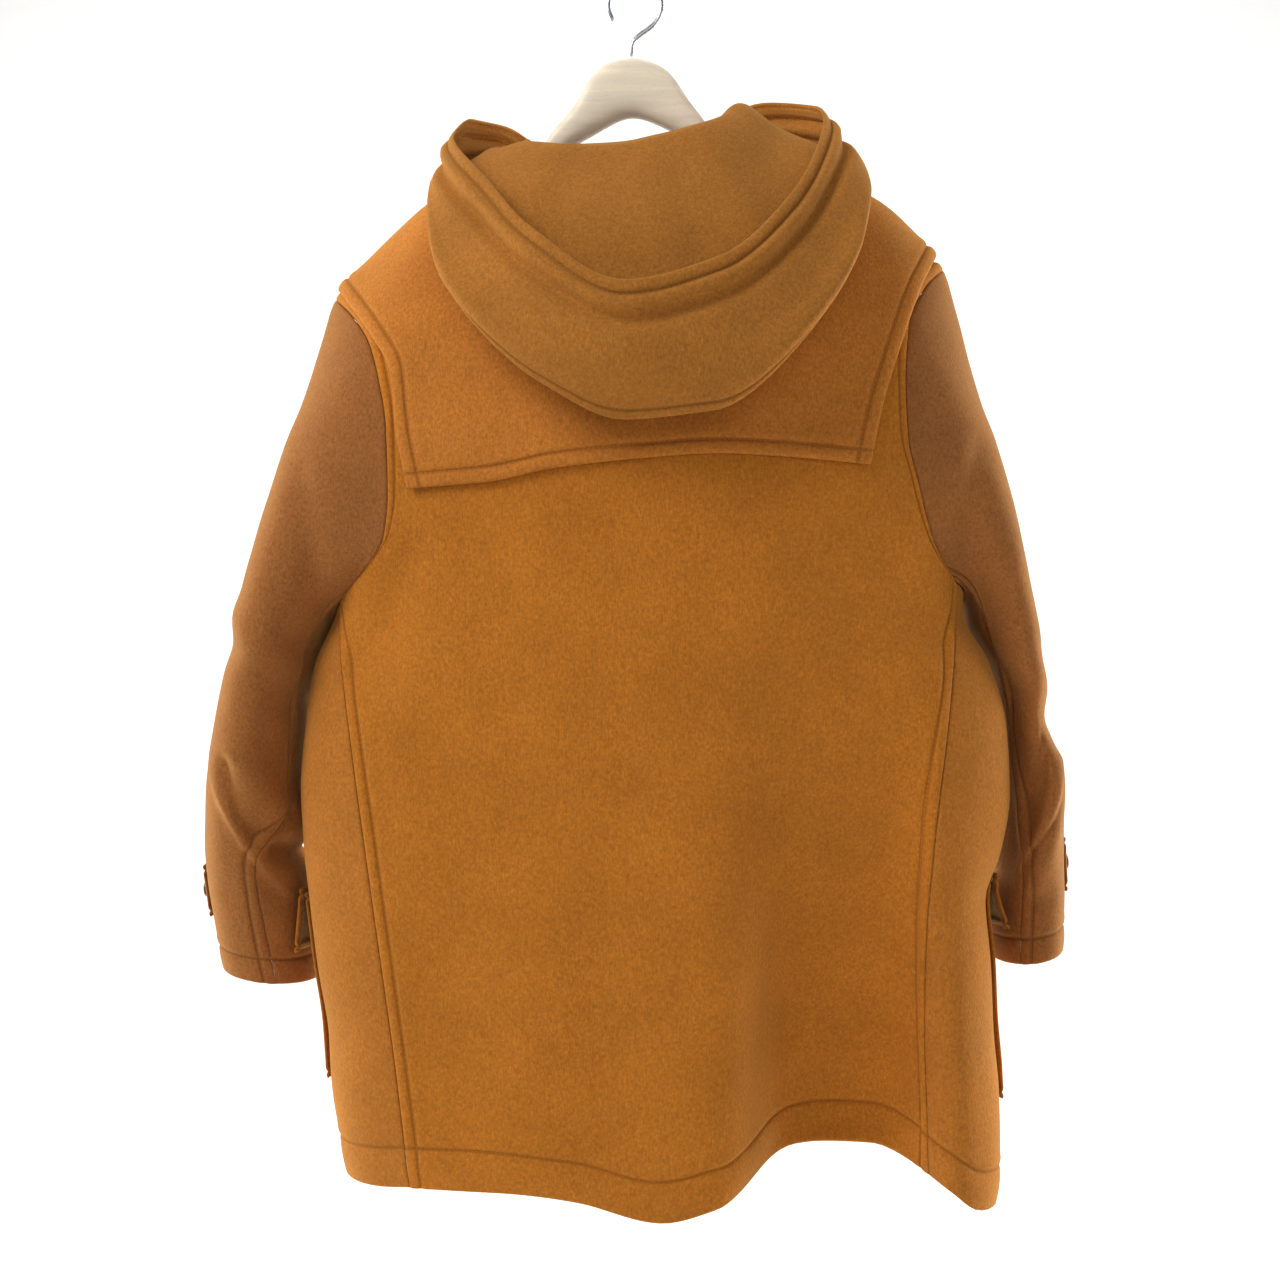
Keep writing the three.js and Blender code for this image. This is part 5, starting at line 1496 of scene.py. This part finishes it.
class COAT_OT_sleeves(bpy.types.Operator):
    """Sew both two-piece sleeves with their elbow folds"""

    bl_idname = "coat.sleeves"
    bl_label = "Sleeves"

    def execute(self, context):
        for side in SIDES:
            piece = panel(
                f"sleeve_{side}_upper_panel", sleeve_upper(side), ((BARE, SEWN), (BARE, CUFF)), (64, 118),
                sewing(None, "seam_stitch", None, "cuff_stitch"), cloth_settings(),
                fold_key=f"sleeve_{side}", flip=side == "left",
                material="wool_sleeve",
            )
            declare(
                piece, [f"sleeve_{side}_upper"],
            )
            piece = panel(
                f"sleeve_{side}_under_panel", sleeve_under(side), ((BARE, BARE), (BARE, CUFF)), (30, 84),
                sewing(None, None, None, "cuff_stitch"), cloth_settings(),
                fold_key=f"sleeve_{side}", flip=side == "left",
                material="wool_sleeve",
            )
            declare(
                piece, [f"sleeve_{side}_under"],
            )
        return {"FINISHED"}


class COAT_OT_hood(bpy.types.Operator):
    """Sew the hood, thrown back, rolled at the neck and folded at its lower edge"""

    bl_idname = "coat.hood"
    bl_label = "Hood"

    def execute(self, context):
        fold = HOOD_LEVELS["fold"]

        @lru_cache(maxsize=None)
        def half_gap(u):
            small = 0.01
            span = (hood_surface(u, fold + small) - hood_surface(u, fold - small)).length
            return HOOD_SEAM_GAP / 2 * 2 * small / span

        def under(u, v):
            return hood_surface(u, v * (fold - half_gap(u)))

        def outer(u, v):
            return hood_surface(u, lerp(fold + half_gap(u), 1, v))

        def rim_crease(edges, place):
            """Soft crease that follows the face edge."""
            crease, edge = RIM_CREASE, edges["high_v"]
            reach = smooth(edges["low_v"] / crease["reach"])
            trough = -crease["depth"] * math.exp(-(((edge - crease["trough"]) / crease["half"]) ** 2))
            ridge = crease["height"] * math.exp(-(((edge - crease["ridge"]) / crease["half"]) ** 2))
            return reach * (trough + ridge)

        piece = panel(
            "hood_under_panel", under, ((BARE, BARE), (BARE, BARE)), (120, 54),
            sewing(None, None, None, None), cloth_settings(),
            material="wool_hood",
        )
        declare(
            piece, ["hood_under"],
        )
        piece = panel(
            "hood_outer_panel", outer, ((BARE, BARE), (SEWN, SEWN)), (120, 22),
            sewing(None, None, "seam_stitch", "topstitch"), cloth_settings(),
            material="wool_hood", extra=rim_crease,
        )
        declare(
            piece, ["hood_outer"],
        )
        return {"FINISHED"}


class COAT_OT_pockets(bpy.types.Operator):
    """Sew the patch pockets, their flaps and the cuff tabs"""

    bl_idname = "coat.pockets"
    bl_label = "Pockets and tabs"

    def execute(self, context):
        small = sewing("tab_stitch", "tab_stitch", "tab_stitch", "tab_stitch")
        narrow = ((NARROW, NARROW), (NARROW, NARROW))
        for side in SIDES:
            top, bottom = POCKET_TOP[side], POCKET_BOTTOM[side]
            flip = side == "left"
            piece = panel(
                f"pocket_{side}_panel", pocket_surface(side, bottom, top), narrow, (26, 26), small,
                cloth_settings(), lift=lambda u, v: pocket_lift(u), flip=flip, material="wool_front",
            )
            declare(
                piece, [f"pocket_{side}"],
            )
            flap_top = top + FLAP["above"]
            piece = panel(
                f"flap_{side}_panel", pocket_surface(side, flap_top - FLAP["height"], flap_top), narrow,
                (26, 10), small, cloth_settings(), lift=flap_lift, flip=flip, material="wool_front",
                inside="wool_flap",
            )
            declare(
                piece, [f"flap_{side}"],
            )
            at = sleeve_surface(side)

            def tab_at(u, v):
                turn = lerp(TAB_TURN["front"], TAB_TURN["back"], u)
                return at(turn, lerp(TAB_TOP[side], TAB_BOTTOM[side], v))

            piece = panel(
                f"cuff_tab_{side}_panel", tab_at, narrow, (12, 8), small, cloth_settings(),
                lift=lambda u, v: LAYER_GAP + millimetres("cloth_thickness"), flip=flip,
                material="wool_sleeve",
                inside="wool_flap",
            )
            declare(
                piece, [f"cuff_tab_{side}"],
            )
            smooth_copy(f"cuff_button_{side}_horn", f"cuff_button_{side}", "horn_button", 2)
        return {"FINISHED"}


class COAT_OT_fastening(bpy.types.Operator):
    """Fasten the front: leather patches, cords and wooden toggles"""

    bl_idname = "coat.fastening"
    bl_label = "Fastening"

    def execute(self, context):
        ends = {
            "left": (-PATCH["outer"], -PATCH["inner"]),
            "right": (PATCH["inner"] + PATCH_RIGHT_SHIFT, PATCH["outer"] + PATCH_RIGHT_SHIFT),
        }
        edge = dict.fromkeys(EDGES, PATCH_STITCH)
        for number, z in enumerate(TOGGLE_Z, start=1):
            for side in SIDES:
                piece = panel(
                    f"patch_{side}_{number}_leather", patch_surface(*ends[side], z),
                    ((NARROW, NARROW), (NARROW, NARROW)), (6, 6), edge, cloth_settings(),
                    lift=lambda u, v: LAYER_GAP + PATCH["thickness"], thickness=PATCH["thickness"],
                    flip=True, material="leather_patch",
                )
                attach(piece, "root")
                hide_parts(f"patch_{side}_{number}")
            smooth_copy(f"tie_cord_{number}_cord", f"tie_cord_{number}", "cord_loop", 2)
            smooth_copy(f"loop_cord_{number}_cord", f"loop_cord_{number}", "cord_loop", 2)
            smooth_copy(f"toggle_{number}_wood", f"toggle_{number}", "wood_toggle", 2)
        return {"FINISHED"}


class COAT_OT_hanger(bpy.types.Operator):
    """Make the wooden hanger and its wire hook"""

    bl_idname = "coat.hanger"
    bl_label = "Hanger"

    def execute(self, context):
        smooth_copy("hanger_arms", "hanger_body", "beech_hanger", 2)
        smooth_copy("hanger_wire_hook", "hanger_hook", "wire_hook", 2)
        return {"FINISHED"}


class COAT_OT_stage(bpy.types.Operator):
    """Set the camera, the paper floor and the studio light"""

    bl_idname = "coat.stage"
    bl_label = "Stage"

    def execute(self, context):
        stage = context.scene.coat_stage
        low, high = CAD_BOX
        camera_data = bpy.data.cameras.new("camera")
        camera_data.lens = stage.lens
        camera_data.sensor_width = 36.0
        camera = bpy.data.objects.new("camera", camera_data)
        camera.location = (CAMERA_X, -stage.distance, stage.height)
        camera.rotation_euler = (math.radians(90), 0, 0)
        context.scene.collection.objects.link(camera)
        context.scene.camera = camera

        floor_z = low.z - stage.floor_drop
        bm = bmesh.new()
        corner = Vector((0, 3.2, floor_z))
        first = bm.verts.new((0, -7.0, floor_z))
        last = bm.verts.new(corner)
        bm.edges.new((first, last))
        bmesh.ops.spin(
            bm, geom=[last], cent=corner + Vector((0, 0, 1.5)), axis=(1, 0, 0),
            angle=math.radians(90), steps=24, use_duplicate=False,
        )
        top = max(bm.verts, key=lambda vert: (vert.co.y, vert.co.z))
        extruded = bmesh.ops.extrude_vert_indiv(bm, verts=[top])["verts"]
        bmesh.ops.translate(bm, verts=extruded, vec=(0, 0, 5.0))
        swept = bmesh.ops.extrude_edge_only(bm, edges=bm.edges[:])["geom"]
        moved = [item for item in swept if isinstance(item, bmesh.types.BMVert)]
        bmesh.ops.translate(bm, verts=moved, vec=(16.0, 0, 0))
        bmesh.ops.translate(bm, verts=bm.verts[:], vec=(-8.0, 0, 0))
        bmesh.ops.recalc_face_normals(bm, faces=bm.faces[:])
        floor = finish_piece("paper_sweep", bm, "paper_floor")

        world = bpy.data.worlds.new("studio")
        world.use_nodes = True
        background = world.node_tree.nodes["Background"]
        background.inputs["Color"].default_value = srgb(0xFFFFFF)
        background.inputs["Strength"].default_value = stage.sky
        context.scene.world = world
        context.scene.view_settings.view_transform = "Standard"

        targets = {"coat": (low + high) / 2, "backdrop": Vector((0, 4.0, -0.4))}
        for name, place, aim, size, share in LAMPS:
            target, power = targets[aim], stage.key * share
            data = bpy.data.lights.new(name, "AREA")
            data.size = size
            data.energy = power
            lamp = bpy.data.objects.new(name, data)
            lamp.location = place
            lamp.rotation_euler = (target - Vector(place)).to_track_quat("-Z", "Y").to_euler()
            context.scene.collection.objects.link(lamp)
        return {"FINISHED"}


OPERATORS = (
    COAT_OT_materials, COAT_OT_stage, COAT_OT_hanger, COAT_OT_back, COAT_OT_fronts, COAT_OT_yoke,
    COAT_OT_sleeves, COAT_OT_hood, COAT_OT_pockets, COAT_OT_fastening,
)


class COAT_PT_panel(bpy.types.Panel):
    """Pieces of the coat, in the order of making"""

    bl_label = "Duffle Coat"
    bl_idname = "COAT_PT_panel"
    bl_space_type = "VIEW_3D"
    bl_region_type = "UI"
    bl_category = "Coat"

    def draw(self, context):
        for operator in OPERATORS:
            self.layout.operator(operator.bl_idname)
        for group in (context.scene.coat_cloth, context.scene.coat_colours, context.scene.coat_stage):
            box = self.layout.box()
            for name in group.__annotations__:
                box.prop(group, name)


GROUPS = {"coat_cloth": COAT_PG_cloth, "coat_colours": COAT_PG_colours, "coat_stage": COAT_PG_stage}


def register():
    for name, group in GROUPS.items():
        bpy.utils.register_class(group)
        setattr(bpy.types.Scene, name, bpy.props.PointerProperty(type=group))
    for operator in OPERATORS:
        bpy.utils.register_class(operator)
    bpy.utils.register_class(COAT_PT_panel)


def unregister():
    bpy.utils.unregister_class(COAT_PT_panel)
    for operator in reversed(OPERATORS):
        bpy.utils.unregister_class(operator)
    for name, group in reversed(GROUPS.items()):
        delattr(bpy.types.Scene, name)
        bpy.utils.unregister_class(group)


def main():
    register()
    for operator in OPERATORS:
        family, action = operator.bl_idname.split(".")
        getattr(getattr(bpy.ops, family), action)()


if __name__ == "__main__":
    main()
